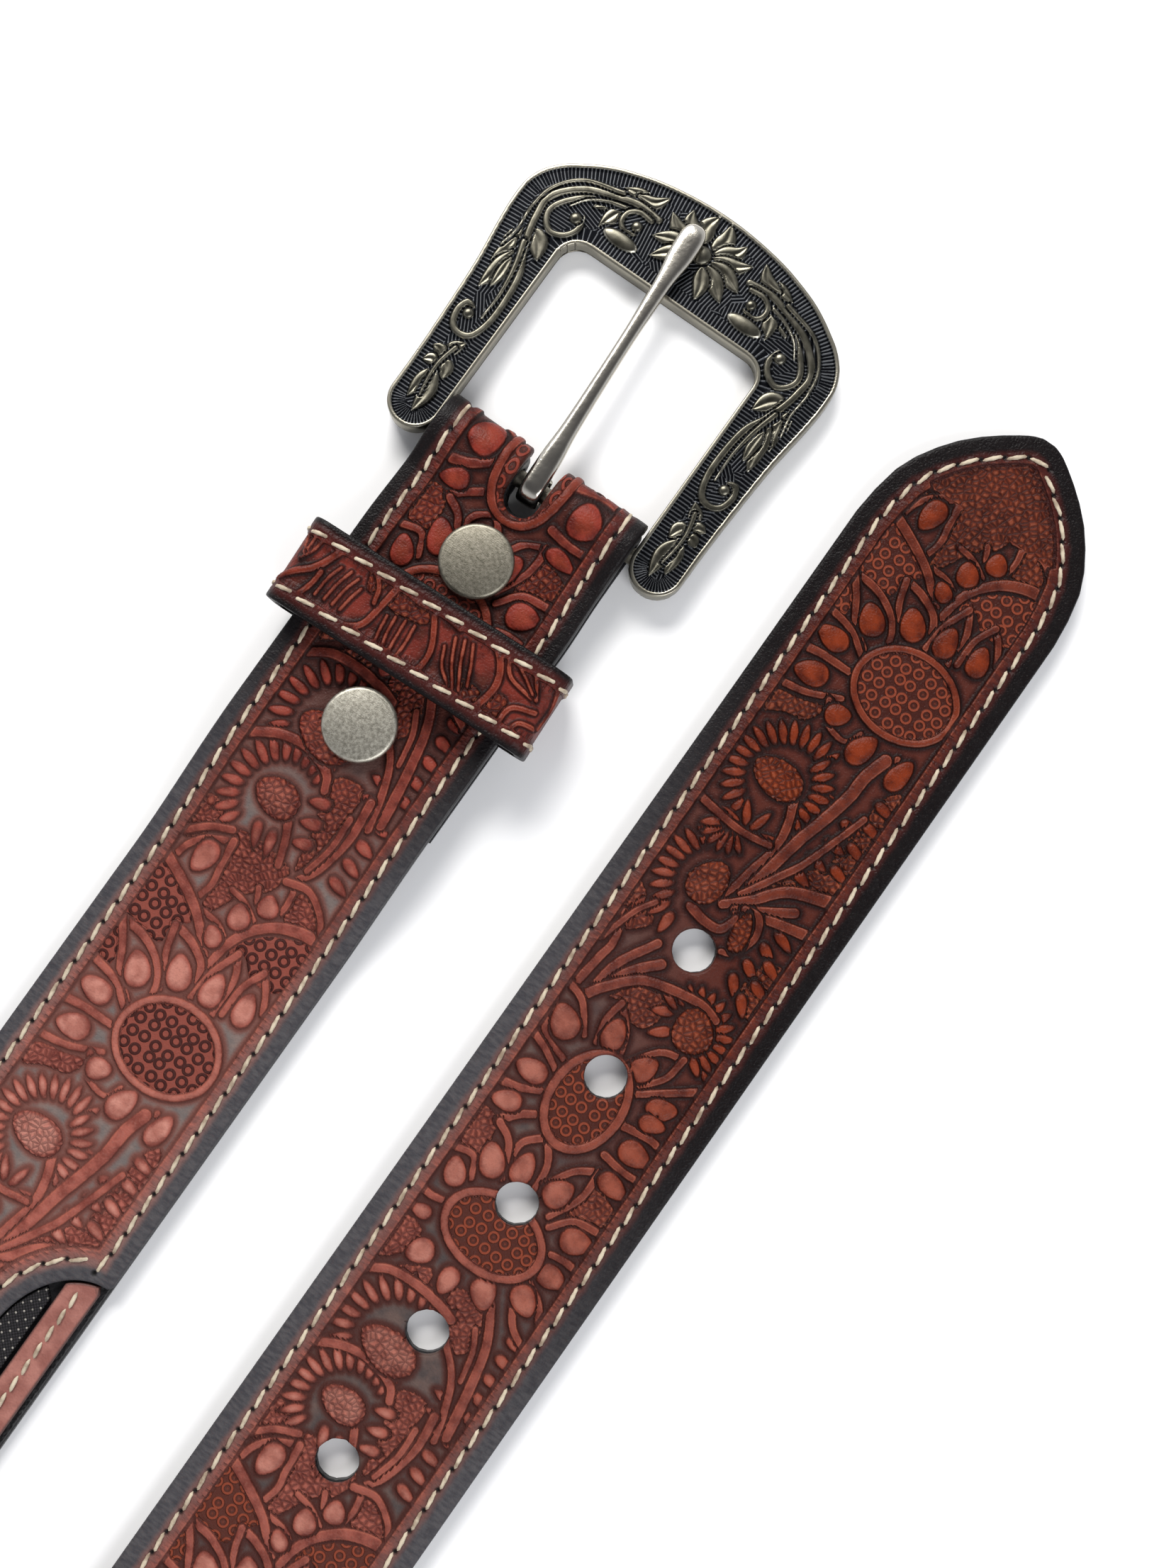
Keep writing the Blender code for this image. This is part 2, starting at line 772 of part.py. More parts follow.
BAR_TO_FOLD = FOLD_OUTER
FRONT = FRAME_REACH + BAR_TO_FOLD
OPENING_FRONT = OPENING_REACH + BAR_TO_FOLD
ARM_CENTRE_Y = BAR_TO_FOLD - ARM_END_REACH + ARM_WIDTH / 2
FACE = FRAME_THICKNESS / 2
GROUND = FACE - GROUND_DEPTH
RELIEF_TOP = FACE + RELIEF_PROUD
TILT = math.asin((BAR_Z - FACE) / FRONT)

FRAME_SIDE = (
    # share of the way from the arm's end circle to the front, share of the swell
    # between the arm's outer side and the frame's half-width
    (0.0, 0.0),
    (0.13, 0.03),
    (0.3, 0.2),
    (0.45, 0.42),
    (0.58, 0.8),
    (0.66, 0.98),
    (0.71, 1.0),
)
FRAME_SHOULDER = (
    # share of the way to the front, share of the frame's half-width
    (0.745, 0.995),
    (0.775, 0.978),
    (0.803, 0.953),
    (0.828, 0.919),
    (0.856, 0.868),
    (0.881, 0.803),
    (0.91, 0.72),
    (0.936, 0.625),
    (0.96, 0.5),
    (0.977, 0.385),
    (0.99, 0.25),
    (0.998, 0.11),
    (1.0, 0.0),
)


def frame_side():
    """The frame's outer right side as (x, y), from the arm's end circle to the front."""
    arm_outer = OPENING_WIDTH / 2 + ARM_WIDTH
    half = FRAME_WIDTH / 2
    reach = FRONT - ARM_CENTRE_Y
    side = []
    for share, swell in FRAME_SIDE:
        x = arm_outer + (half - arm_outer) * swell
        side.append((x, ARM_CENTRE_Y + reach * share))
    for share, across in FRAME_SHOULDER:
        side.append((half * across, ARM_CENTRE_Y + reach * share))
    return side


def frame_outline():
    """The horseshoe outline of the frame, both arms with round ends."""
    opening = OPENING_WIDTH / 2
    right = []
    for i in range(ARM_END_STEPS + 1):
        angle = math.radians(180 + 180 * i / ARM_END_STEPS)
        x = opening + ARM_WIDTH / 2 + ARM_WIDTH / 2 * math.cos(angle)
        right.append((x, ARM_CENTRE_Y + ARM_WIDTH / 2 * math.sin(angle)))
    right += frame_side()[1:]
    left = [(-x, y) for x, y in reversed(right[:-1])]
    inner = []
    for side in (-1, 1):
        for i in range(OPENING_CORNER_STEPS + 1):
            turn = i if side < 0 else OPENING_CORNER_STEPS - i
            angle = math.radians(180 - 90 * turn / OPENING_CORNER_STEPS)
            x = opening - OPENING_CORNER - OPENING_CORNER * math.cos(angle)
            y = OPENING_FRONT - OPENING_CORNER + OPENING_CORNER * math.sin(angle)
            inner.append((side * x, y))
    return right + left + inner


def inset(points, distance):
    """The outline moved inwards, each corner along the mean of its sides' normals."""
    moved = []
    count = len(points)
    for i, point in enumerate(points):
        here = Vector(point)
        before = (here - Vector(points[i - 1])).normalized()
        after = (Vector(points[(i + 1) % count]) - here).normalized()
        normal = Vector((-(before + after).y, (before + after).x)).normalized()
        spread = max(0.5, normal.dot(Vector((-before.y, before.x))))
        moved.append(tuple(here + normal * distance / spread))
    return moved


# Relief on one half of the frame, the other half being its mirror image. Places are
# (across, forward) from the middle of the fold line. The first 1 across is half the
# opening, and the next 1 the band beside it. The first 1 forward is the opening's
# reach, and the next 1 the band in front of it.
VINE = (
    (0.175, 1.5668),
    (0.425, 1.6278),
    (0.675, 1.6665),
    (0.925, 1.6278),
    (1.2898, 1.4833),
    (1.4903, 1.2721),
    (1.5512, 1.0111),
    (1.4669, 0.8408),
    (1.3287, 0.6906),
    (1.2478, 0.5555),
    (1.2144, 0.4355),
    (1.278, 0.3483),
    (1.4801, 0.2942),
    (1.7184, 0.3123),
    (1.8091, 0.3784),
    (1.7019, 0.4384),
    (1.5469, 0.4295),
    (1.5513, 0.3904),
)
SHOULDER_CURL = (
    (1.4769, 1.2165),
    (1.4166, 1.0834),
    (1.2839, 0.994),
    (1.1003, 0.9819),
    (0.9699, 1.0222),
    (0.935, 1.1279),
    (0.98, 1.2222),
    (1.1022, 1.2165),
    (1.126, 1.1501),
)
SMALL_CURL = (
    (0.425, 1.6167),
    (0.5701, 1.5389),
    (0.68, 1.45),
    (0.62, 1.3667),
    (0.54, 1.4055),
    (0.565, 1.4611),
)
ARM_STEM = (
    (1.5417, -0.1802),
    (1.5184, -0.03),
    (1.5333, 0.1202),
    (1.5655, 0.2282),
)
LEAVES = (
    # across, forward, direction in degrees, length and width as shares of an arm's width
    (0.34, 1.4833, -4, 0.667, 0.271),
    (0.3101, 1.7555, 22, 0.625, 0.24),
    (0.105, 1.8167, 62, 0.5, 0.24),
    (0.22, 1.2832, -52, 0.542, 0.229),
    (0.5501, 1.8056, 112, 0.417, 0.208),
    (0.78, 1.8056, 6, 0.688, 0.208),
    (0.8499, 1.4223, -62, 0.563, 0.229),
    (1.0, 1.4833, -30, 0.479, 0.188),
    (1.2906, 0.8829, 48, 0.479, 0.208),
    (1.7427, 0.9309, 82, 0.521, 0.188),
    (1.7255, 0.7747, 84, 0.563, 0.219),
    (1.6758, 0.6187, 98, 0.604, 0.229),
    (1.3467, 0.1562, 128, 0.479, 0.208),
    (1.7326, 0.1742, 46, 0.521, 0.229),
    (1.7249, 0.024, 50, 0.5, 0.208),
    (1.3731, -0.006, 126, 0.5, 0.208),
    (1.5206, -0.1502, 90, 0.479, 0.24),
)
BEAD = (0.61, 1.1833)
BEAD_SHARES = (0.646, 0.229)
FLOWER = (0.0, 1.5389)
FLOWER_SHARE = 0.521


def on_frame(side, across, forward):
    """A place of the relief's tables on the side -1 or 1, in the frame's millimetres."""
    band_length = FRAME_REACH - OPENING_REACH
    y = BAR_TO_FOLD + OPENING_REACH * min(forward, 1) + band_length * max(forward - 1, 0)
    opening = OPENING_WIDTH / 2
    outer = interpolate([(py, px) for px, py in frame_side()], y)
    x = opening * min(across, 1) + (outer - opening) * max(across - 1, 0)
    return side * x, y


def dome(name, place, shares, direction, segments):
    """A flattened round boss that rises from the ground to the relief's height."""
    bm = bmesh.new()
    x, y = place
    length, width = (share * ARM_WIDTH for share in shares)
    depth = RELIEF_TOP - GROUND + RELIEF_ROOT / 2
    centre = RELIEF_TOP - depth
    matrix = (
        Matrix.Translation((x, y, centre))
        @ Matrix.Rotation(math.radians(direction), 4, "Z")
        @ Matrix.Diagonal((length / 2, width / 2, depth, 1))
    )
    bmesh.ops.create_uvsphere(bm, u_segments=segments, v_segments=6, radius=1, matrix=matrix)
    buried = [vert for vert in bm.verts if vert.co.z < GROUND - 0.75 * RELIEF_ROOT]
    bmesh.ops.pointmerge(bm, verts=buried, merge_co=(x, y, GROUND - RELIEF_ROOT))
    add_object(name, bm, collection=relief)


def stem(name, points, side):
    """A round stem half sunk in the ground, through points on one side."""
    curve = bpy.data.curves.new(name, "CURVE")
    curve.dimensions = "3D"
    curve.bevel_depth = STEM_WIDTH / 2 * MM
    curve.bevel_resolution = 1
    curve.use_fill_caps = True
    spline = curve.splines.new("POLY")
    spline.points.add(len(points) - 1)
    level = RELIEF_TOP - STEM_WIDTH / 2
    for place, shares in zip(spline.points, points):
        x, y = on_frame(side, *shares)
        place.co = (x * MM, y * MM, level * MM, 1)
    line = bpy.data.objects.new(name + "_line", curve)
    belt.objects.link(line)
    bm = evaluated_bmesh(line)
    bpy.data.objects.remove(line)
    bmesh.ops.recalc_face_normals(bm, faces=bm.faces)
    add_object(name, bm, collection=relief)


relief = bpy.data.collections.new("relief")


def build_relief():
    cutters.children.link(relief)
    for side, hand in ((-1, "left"), (1, "right")):
        stem(f"vine_{hand}", VINE, side)
        stem(f"shoulder_curl_{hand}", SHOULDER_CURL, side)
        stem(f"small_curl_{hand}", SMALL_CURL, side)
        stem(f"arm_stem_{hand}", ARM_STEM, side)
        for i, (across, forward, direction, *shares) in enumerate(LEAVES):
            turn = direction if side > 0 else 180 - direction
            place = on_frame(side, across, forward)
            dome(f"leaf_{hand}_{i + 1}", place, shares, turn, LEAF_SIDES)
        dome(f"bead_{hand}", on_frame(side, *BEAD), BEAD_SHARES, 0, BEAD_SIDES)
    flower_shares = (FLOWER_SHARE, FLOWER_SHARE)
    dome("flower", on_frame(1, *FLOWER), flower_shares, 0, FLOWER_SIDES)
    for obj in relief.objects:
        obj.hide_render = True
        obj.display_type = "WIRE"


def place_on_bar(obj):
    place = Vector((-RUN_SPACING / 2, BAR_Y, BAR_Z)) * MM
    obj.matrix_world = Matrix.Translation(place) @ Matrix.Rotation(-TILT, 4, "X")


def build_frame(nickel):
    outline = frame_outline()
    frame = add_object("buckle_frame", outline_solid("frame", [outline], FRAME_THICKNESS), nickel)
    bevel = frame.modifiers.new("rounded_edges", "BEVEL")
    bevel.width = EDGE_ROUNDING * MM
    bevel.segments = 1
    bevel.limit_method = "ANGLE"
    bevel.angle_limit = math.radians(50)
    recess = outline_solid("recess", [inset(outline, RIM_WIDTH)], CUTTER_MARGIN)
    bmesh.ops.translate(recess, vec=(0, 0, GROUND + CUTTER_MARGIN / 2), verts=recess.verts)
    cut(frame, add_object("recess_cutter", recess, collection=cutters))
    bar = bmesh.new()
    bmesh.ops.create_cone(
        bar,
        cap_ends=True,
        segments=BAR_SIDES,
        radius1=BAR_RADIUS,
        radius2=BAR_RADIUS,
        depth=OPENING_WIDTH + 2 * BAR_SEAT,
        matrix=Matrix.Rotation(math.radians(90), 4, "Y"),
    )
    bar_piece = add_object("bar_piece", bar, collection=cutters)
    build_relief()
    join = frame.modifiers.new("relief", "BOOLEAN")
    join.operation = "UNION"
    join.operand_type = "COLLECTION"
    join.collection = relief
    cut(frame, bar_piece, "UNION")
    for piece in [frame, bar_piece, *relief.objects, bpy.data.objects["recess_cutter"]]:
        place_on_bar(piece)


def tongue_sections():
    """(y, z, angle of travel, width, height) from the curl's open end to the tip."""
    middle = BAR_RADIUS + LAYER_GAP + CURL_THICKNESS / 2
    rest = RELIEF_TOP + LAYER_GAP + SHAFT_THICKNESS / 2
    length = TONGUE_LENGTH + BAR_TO_FOLD
    sections = []
    for i in range(CURL_STEPS + 1):
        angle = math.radians(CURL_OPEN_ANGLE - CURL_WRAP_ANGLE * i / CURL_STEPS)
        travel = angle - math.pi / 2
        y, z = middle * math.cos(angle), middle * math.sin(angle)
        sections.append((y, z, travel, CURL_WIDTH, CURL_THICKNESS))
    shaft = (
        # share of the tongue's length, width as a share of the shaft's, height share
        (0.05, 1.4, 0.9),
        (0.12, 1.32, 1.0),
        (0.2, 1.1, 1.0),
        (0.33, 0.97, 1.0),
        (0.55, 0.9, 1.0),
        (0.7, 1.0, 1.0),
        (TONGUE_REST_SHARE, 1.15, 1.0),
    )
    for share, width, height in shaft:
        z = middle + (rest - middle) * share / TONGUE_REST_SHARE
        sections.append(
            (length * share, z, -2 * math.pi, SHAFT_WIDTH * width, SHAFT_THICKNESS * height)
        )
    tip = (
        # share of the tongue's length, width as a share of the tip's, height share
        (0.86, 0.93, 1.0),
        (0.91, 1.0, 1.0),
        (0.955, 0.97, 1.0),
        (0.98, 0.8, 0.855),
        (0.993, 0.52, 0.633),
        (1.0, 0.2, 0.324),
    )
    for share, width, thickness in tip:
        height = SHAFT_THICKNESS * thickness
        z = rest - (SHAFT_THICKNESS - height) / 4
        sections.append((length * share, z, -2 * math.pi, TONGUE_TIP_WIDTH * width, height))
    return sections


def build_tongue(nickel):
    bm = bmesh.new()
    rings = []
    for y, z, travel, width, height in tongue_sections():
        up = Vector((0, -math.sin(travel), math.cos(travel)))
        ring = []
        for k in range(TONGUE_SIDES):
            angle = 2 * math.pi * (k + 0.5) / TONGUE_SIDES
            across, rise = math.cos(angle), math.sin(angle)
            x = width / 2 * math.copysign(abs(across) ** CORNER_FULLNESS, across)
            h = height / 2 * math.copysign(abs(rise) ** CORNER_FULLNESS, rise)
            ring.append(bm.verts.new(Vector((x, y, z)) + up * h))
        rings.append(ring)
    for low, high in zip(rings, rings[1:]):
        for k in range(TONGUE_SIDES):
            j = (k + 1) % TONGUE_SIDES
            bm.faces.new((low[k], low[j], high[j], high[k]))
    bm.faces.new(list(reversed(rings[0])))
    bm.faces.new(rings[-1])
    bmesh.ops.recalc_face_normals(bm, faces=bm.faces)
    tongue = add_object("tongue", bm, nickel)
    place_on_bar(tongue)
    tongue.matrix_world = tongue.matrix_world @ Matrix.Rotation(math.radians(TONGUE_LEAN), 4, "Z")


def stand_on_origin():
    """Moves everything so that the belt's box stands on the origin, through an empty."""
    bpy.context.view_layer.update()
    graph = bpy.context.evaluated_depsgraph_get()
    corners = []
    for obj in belt.objects:
        world = obj.matrix_world
        corners += [world @ v.co for v in obj.evaluated_get(graph).data.vertices]
    low = [min(c[k] for c in corners) for k in range(3)]
    high = [max(c[k] for c in corners) for k in range(3)]
    carrier = bpy.data.objects.new("belt_origin", None)
    bpy.context.scene.collection.objects.link(carrier)
    for obj in [*belt.objects, *cutters.all_objects]:
        obj.parent = carrier
    carrier.location = (-(low[0] + high[0]) / 2, -(low[1] + high[1]) / 2, -low[2])


def main():
    clear_scene()
    black = make_material("black_leather", (0.02, 0.019, 0.018), 0.45)
    tooled = make_material("tooled_leather", (0.28, 0.075, 0.03), 0.42)
    rose = make_material("rose_leather", (0.33, 0.16, 0.14), 0.6)
    mesh_black = make_material("mesh_weave", (0.035, 0.033, 0.032), 0.8)
    nickel = make_material("antique_nickel", (0.5, 0.47, 0.42), 0.3, 1.0)
    build_leather(black, tooled, rose, mesh_black)
    build_keeper(tooled)
    build_snaps(nickel)
    build_frame(nickel)
    build_tongue(nickel)
    for obj in belt.objects:
        obj.data.shade_smooth()
        obj.data.set_sharp_from_angle(angle=math.radians(35))
    stand_on_origin()


main()
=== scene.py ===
import math

import bpy
import numpy as np
from mathutils import Matrix, Vector


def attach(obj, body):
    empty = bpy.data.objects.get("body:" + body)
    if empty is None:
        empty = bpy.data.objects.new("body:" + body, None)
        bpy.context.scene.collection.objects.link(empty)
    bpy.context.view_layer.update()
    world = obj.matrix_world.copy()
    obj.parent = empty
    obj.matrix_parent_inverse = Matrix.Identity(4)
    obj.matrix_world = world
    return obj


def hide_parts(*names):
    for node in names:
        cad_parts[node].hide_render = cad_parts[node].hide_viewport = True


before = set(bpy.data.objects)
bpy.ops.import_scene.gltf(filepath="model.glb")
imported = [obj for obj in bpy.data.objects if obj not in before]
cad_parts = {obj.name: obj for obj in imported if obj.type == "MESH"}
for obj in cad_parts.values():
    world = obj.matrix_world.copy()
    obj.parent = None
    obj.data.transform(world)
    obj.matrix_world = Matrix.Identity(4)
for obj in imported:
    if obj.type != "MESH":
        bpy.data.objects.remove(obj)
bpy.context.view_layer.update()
MM = 0.001

# The view. The picture was taken from straight above by hand, about 31 cm over the
# belt, with both ends running from the top right to the bottom left.
camera = bpy.data.objects.new("camera", bpy.data.cameras.new("camera"))
bpy.context.scene.collection.objects.link(camera)
bpy.context.scene.camera = camera
camera.data.sensor_width = 36.0
camera.data.lens = 42.9
camera.data.clip_start = 0.01
view_back = Vector((0.0426, -0.0439, 0.9981)).normalized()
view_right = Vector((0.817, 0.5766, -0.0095)).normalized()
view_up = view_back.cross(view_right).normalized()
view_right = view_up.cross(view_back)
view_axes = Matrix((view_right, view_up, view_back)).transposed().to_4x4()
camera.matrix_world = Matrix.Translation((0.02, 0.1557, 0.3138)) @ view_axes


# The surface below and the light. The belt lies on a plain pale sheet, lit softly from
# a large window-like source on the upper left, with weak fill from all round.
class Value:
    """An output in a material's nodes. Arithmetic on it adds the node that does it."""

    def __init__(self, tree, socket=None):
        self.tree = tree
        self.socket = socket

    def make(self, kind, settings, inputs, output=0):
        """Any node, by its type, its settings and what goes into it."""
        node = self.tree.nodes.new(kind)
        for name, value in settings.items():
            setattr(node, name, value)
        for name, value in inputs.items():
            if isinstance(value, Value):
                self.tree.links.new(value.socket, node.inputs[name])
            else:
                node.inputs[name].default_value = value
        return Value(self.tree, node.outputs[output])

    def math(self, operation, *values):
        return self.make("ShaderNodeMath", {"operation": operation}, dict(enumerate(values)))

    def __add__(self, other):
        return self.math("ADD", self, other)

    def __radd__(self, other):
        return self.math("ADD", other, self)

    def __sub__(self, other):
        return self.math("SUBTRACT", self, other)

    def __rsub__(self, other):
        return self.math("SUBTRACT", other, self)

    def __mul__(self, other):
        return self.math("MULTIPLY", self, other)

    def __rmul__(self, other):
        return self.math("MULTIPLY", other, self)

    def distance(self):
        """How far it is from zero."""
        return self.math("ABSOLUTE", self)

    def wave(self):
        return self.math("SINE", self)

    def between(self, low, high):
        """0 below low, 1 above high and smooth in between."""
        return self.make(
            "ShaderNodeMapRange",
            {"interpolation_type": "SMOOTHSTEP"},
            {"Value": self, "From Min": low, "From Max": high},
        )

    def mix(self, colour, other):
        """One colour where this value is 0 and the other where it is 1."""
        return self.make("ShaderNodeMix", {"data_type": "RGBA"}, {0: self, 6: colour, 7: other}, 2)

    def attribute(self, name):
        return self.make("ShaderNodeAttribute", {"attribute_name": name}, {}, "Fac")

    def place(self, scale=(1, 1, 1)):
        """The place on the piece, in millimetres, stretched by scale."""
        at = self.make("ShaderNodeTexCoord", {}, {}, "Object")
        stretch = tuple(1000 * share for share in scale)
        return self.make("ShaderNodeVectorMath", {"operation": "MULTIPLY"}, {0: at, 1: stretch})

    def beside(self, other):
        """The place on a flat chart that has this value as x and the other as y."""
        return self.make("ShaderNodeCombineXYZ", {}, {"X": self, "Y": other}, "Vector")

    def noise(self, scale, detail=3.0, at=None):
        inputs = {"Vector": at or self.place(), "Scale": scale, "Detail": detail}
        return self.make("ShaderNodeTexNoise", {}, inputs, "Fac")

    def cells(self, scale, feature="F1", at=None, output="Distance", randomness=1.0):
        inputs = {"Vector": at or self.place(), "Scale": scale, "Randomness": randomness}
        settings = {"feature": feature, "voronoi_dimensions": "2D" if at else "3D"}
        return self.make("ShaderNodeTexVoronoi", settings, inputs, output)

    def bump(self, distance):
        """The shading normal of a surface with this height, in shares of distance."""
        inputs = {"Height": self, "Distance": distance * MM, "Strength": 1.0}
        return self.make("ShaderNodeBump", {}, inputs, "Normal")


def rgb(red, green, blue):
    """A linear colour from the 0 to 255 values of a picture."""
    shares = [value / 255 for value in (red, green, blue)]
    linear = [v / 12.92 if v < 0.04 else ((v + 0.055) / 1.055) ** 2.4 for v in shares]
    return (*linear, 1)


def material(name, **constants):
    """A material whose Principled shader has these constants, and its first Value."""
    made = bpy.data.materials.new(name)
    made.use_nodes = True
    for key, value in constants.items():
        made.node_tree.nodes["Principled BSDF"].inputs[key.replace("_", " ")].default_value = value
    return made, Value(made.node_tree)


def feed(made, **values):
    """Joins values to the inputs of the material's Principled shader."""
    shader = made.node_tree.nodes["Principled BSDF"]
    for key, value in values.items():
        made.node_tree.links.new(value.socket, shader.inputs[key.replace("_", " ")])


def lamp(name, place, target, width, height, watts, colour):
    """A rectangular lamp at a place, turned to its target."""
    light = bpy.data.lights.new(name, "AREA")
    light.shape = "RECTANGLE"
    light.size = width
    light.size_y = height
    light.energy = watts
    light.color = colour
    obj = bpy.data.objects.new(name, light)
    bpy.context.scene.collection.objects.link(obj)
    obj.location = place
    obj.rotation_mode = "QUATERNION"
    obj.rotation_quaternion = (Vector(target) - Vector(place)).to_track_quat("-Z", "Y")


world = bpy.data.worlds.new("room")
world.use_nodes = True
sky = Value(world.node_tree)
facing = sky.make("ShaderNodeTexCoord", {}, {}, "Generated")
upward = sky.make("ShaderNodeSeparateXYZ", {}, {"Vector": facing}, "Z")
glow = upward.between(0.5, 0.92).mix((0.93, 0.95, 1.0, 1), (0.13, 0.13, 0.14, 1))
backdrop = world.node_tree.nodes["Background"]
world.node_tree.links.new(glow.socket, backdrop.inputs["Color"])
backdrop.inputs["Strength"].default_value = 0.75
bpy.context.scene.world = world
bpy.context.scene.view_settings.view_transform = "Standard"
lamp("window", (-0.75, 0.95, 0.95), (0.0, 0.12, 0.0), 0.8, 0.6, 27.0, (1.0, 0.98, 0.95))
lamp("fill", (0.95, -0.35, 1.0), (0.0, 0.1, 0.0), 1.0, 1.0, 15.0, (0.97, 0.98, 1.0))

sheet, start = material("pale_sheet", Roughness=0.75)
tone = start.noise(0.02, 2.0)
feed(sheet, Base_Color=tone.between(0.3, 0.7).mix(rgb(236, 236, 237), rgb(240, 240, 240)))
bpy.ops.mesh.primitive_plane_add(size=6.0, location=(0, 0, -0.0002))
floor = bpy.context.object
floor.name = "floor"
floor.data.materials.append(sheet)

# The backing strap. One length of black dyed leather, 2 mm thick, that carries every
# other layer. It folds back round the buckle's bar, and its cut edges are burnished.
# Lengths are in millimetres from here on.
BACKING = 2.0
LAYER_BOTTOM = 2.3
TOOLED_TOP = 3.9
BAR = (-29.23, 204.74)
FOLD_INNER = 1.85
FOLD_OUTER = FOLD_INNER + TOOLED_TOP
FOLD_ARC = math.pi * (FOLD_INNER + BACKING / 2)
BAR_HEIGHT = FOLD_INNER + BACKING
BUCKLE_RUN = 194.25
TWIST = 150.0
TIP_RUN = 250.4
LOOP = (
    # length along the belt, curvature as it lies
    (BUCKLE_RUN + TWIST, 0.0),
    (36.652, -1 / 60.0),
    (234.377, 1 / 53.715),
    (36.652, -1 / 60.0),
    (TWIST + TIP_RUN, 0.0),
)
BELT_END = sum(length for length, _ in LOOP)
HALF = 20.0
POINT = 28.0
FIRST_HOLE = 104.0
HOLE_PITCH = 25.4
HOLE = 7.3
SLOT_WIDTH = 6.5
SNAPS = (22.0, 55.0)  # below the fold's front
NECK_HOLE = 4.6
STUD_HOLE = 3.8
FLAP = 59.95


def smooth(t):
    """0 below 0, 1 above 1 and smooth in between."""
    t = np.clip(t, 0.0, 1.0)
    return t * t * (3 - 2 * t)


def lift(s):
    """How high the strap's underside lies over the bar, the return flap and its end."""
    over_bar, over_flap = 5.7, 4.0
    off_bar, off_flap = smooth((s - 0.3) / 9.0), smooth((s - 56.95) / 30.0)
    return over_bar - (over_bar - over_flap) * off_bar - over_flap * off_flap


def lay(s, q, n):
    """World places, in metres, of points s along the belt, q across and n out of it."""
    s, q, n = (np.atleast_1d(np.asarray(v, float)) for v in (s, q, n))
    s, q, n = np.broadcast_arrays(s, q, n)
    x = np.full(s.shape, BAR[0])
    y = np.full(s.shape, BAR[1])
    heading = np.full(s.shape, -math.pi / 2)
    left = np.maximum(s, 0.0)
    for length, curvature in LOOP:
        step = np.minimum(left, length)
        if curvature:
            turned = heading + curvature * step
            x = x + (np.sin(turned) - np.sin(heading)) / curvature
            y = y - (np.cos(turned) - np.cos(heading)) / curvature
            heading = turned
        else:
            x = x + step * np.cos(heading)
            y = y + step * np.sin(heading)
        left = left - step
    share = np.minimum(s - BUCKLE_RUN, BELT_END - TIP_RUN - s) / TWIST
    share = np.clip(share, 0.0, 1.0)
    ease = 0.2
    turn = np.where(share < ease, share * share / (2 * ease), share - ease / 2)
    turn = np.where(share > 1 - ease, 1 - ease - (1 - share) ** 2 / (2 * ease), turn)
    turn = math.pi / 2 * turn / (1 - ease)
    slope = np.where(turn == 0, (lift(s + 0.25) - lift(s - 0.25)) / 0.5, 0.0)
    along = np.stack([np.cos(heading), np.sin(heading), np.zeros(s.shape)], -1)
    outward = np.stack([along[..., 1], -along[..., 0], np.zeros(s.shape)], -1)
    up = np.array([0.0, 0.0, 1.0])
    sine, cosine = np.sin(turn)[..., None], np.cos(turn)[..., None]
    face = up * cosine + outward * sine - along * slope[..., None]
    face /= np.linalg.norm(face, axis=-1, keepdims=True)
    across = up * sine - outward * cosine
    height = lift(s) + HALF * np.sin(turn)
    centre = np.stack([x, y, height], -1)
    out = centre + across * q[..., None] + face * n[..., None]
    fold = -math.pi * s / FOLD_ARC
    aside, radius = BAR[0] + q, FOLD_INNER + n
    ahead, above = BAR[1] + radius * np.sin(fold), BAR_HEIGHT + radius * np.cos(fold)
    folded = np.stack([aside, ahead, above], -1)
    flap = np.stack([aside, BAR[1] + s + FOLD_ARC, BACKING - n], -1)
    out = np.where((s < 0)[..., None], folded, out)
    out = np.where((s < -FOLD_ARC)[..., None], flap, out)
    return out * MM


def new_object(name, points, faces, body, slot, finish, **fields):
    """A mesh that rides on a body; fields are numbers kept per vertex."""
    mesh = bpy.data.meshes.new(name)
    mesh.from_pydata(points.tolist(), [], faces.tolist())
    mesh.update()
    for key, values in fields.items():
        made = mesh.attributes.new(key, "FLOAT", "POINT")
        made.data.foreach_set("value", np.asarray(values, np.float32))
    mesh.shade_smooth()
    mesh.materials.append(finish)
    obj = bpy.data.objects.new(name, mesh)
    bpy.context.scene.collection.objects.link(obj)
    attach(obj, body)
    return obj


def nearest_on(loops, points):
    """For each point its nearest place on the loops, whether it lies inside them, and
    how far along them that place is."""
    starts = np.concatenate([np.asarray(loop, float) for loop in loops])
    ends = np.concatenate([np.roll(np.asarray(loop, float), -1, axis=0) for loop in loops])
    spans = ends - starts
    lengths = np.maximum((spans**2).sum(1), 1e-12)
    reached = np.cumsum(np.sqrt(lengths)) - np.sqrt(lengths)
    near = np.empty_like(points)
    inside = np.empty(len(points), bool)
    arc = np.empty(len(points))
    for first in range(0, len(points), 4000):
        part = slice(first, first + 4000)
        p = points[part]
        rel = p[:, None] - starts
        t = np.clip((rel * spans).sum(2) / lengths, 0, 1)
        at = starts + t[..., None] * spans
        gap = ((p[:, None] - at) ** 2).sum(2)
        pick = gap.argmin(1)
        rows = np.arange(len(p))
        near[part] = at[rows, pick]
        arc[part] = reached[pick] + t[rows, pick] * np.sqrt(lengths[pick])
        above = (starts[:, 1] > p[:, None, 1]) != (ends[:, 1] > p[:, None, 1])
        rise = np.where(np.abs(spans[:, 1]) < 1e-12, 1e-12, spans[:, 1])
        cross = starts[:, 0] + (p[:, None, 1] - starts[:, 1]) * spans[:, 0] / rise
        inside[part] = (above & (p[:, None, 0] < cross)).sum(1) % 2 == 1
    return near, inside, arc


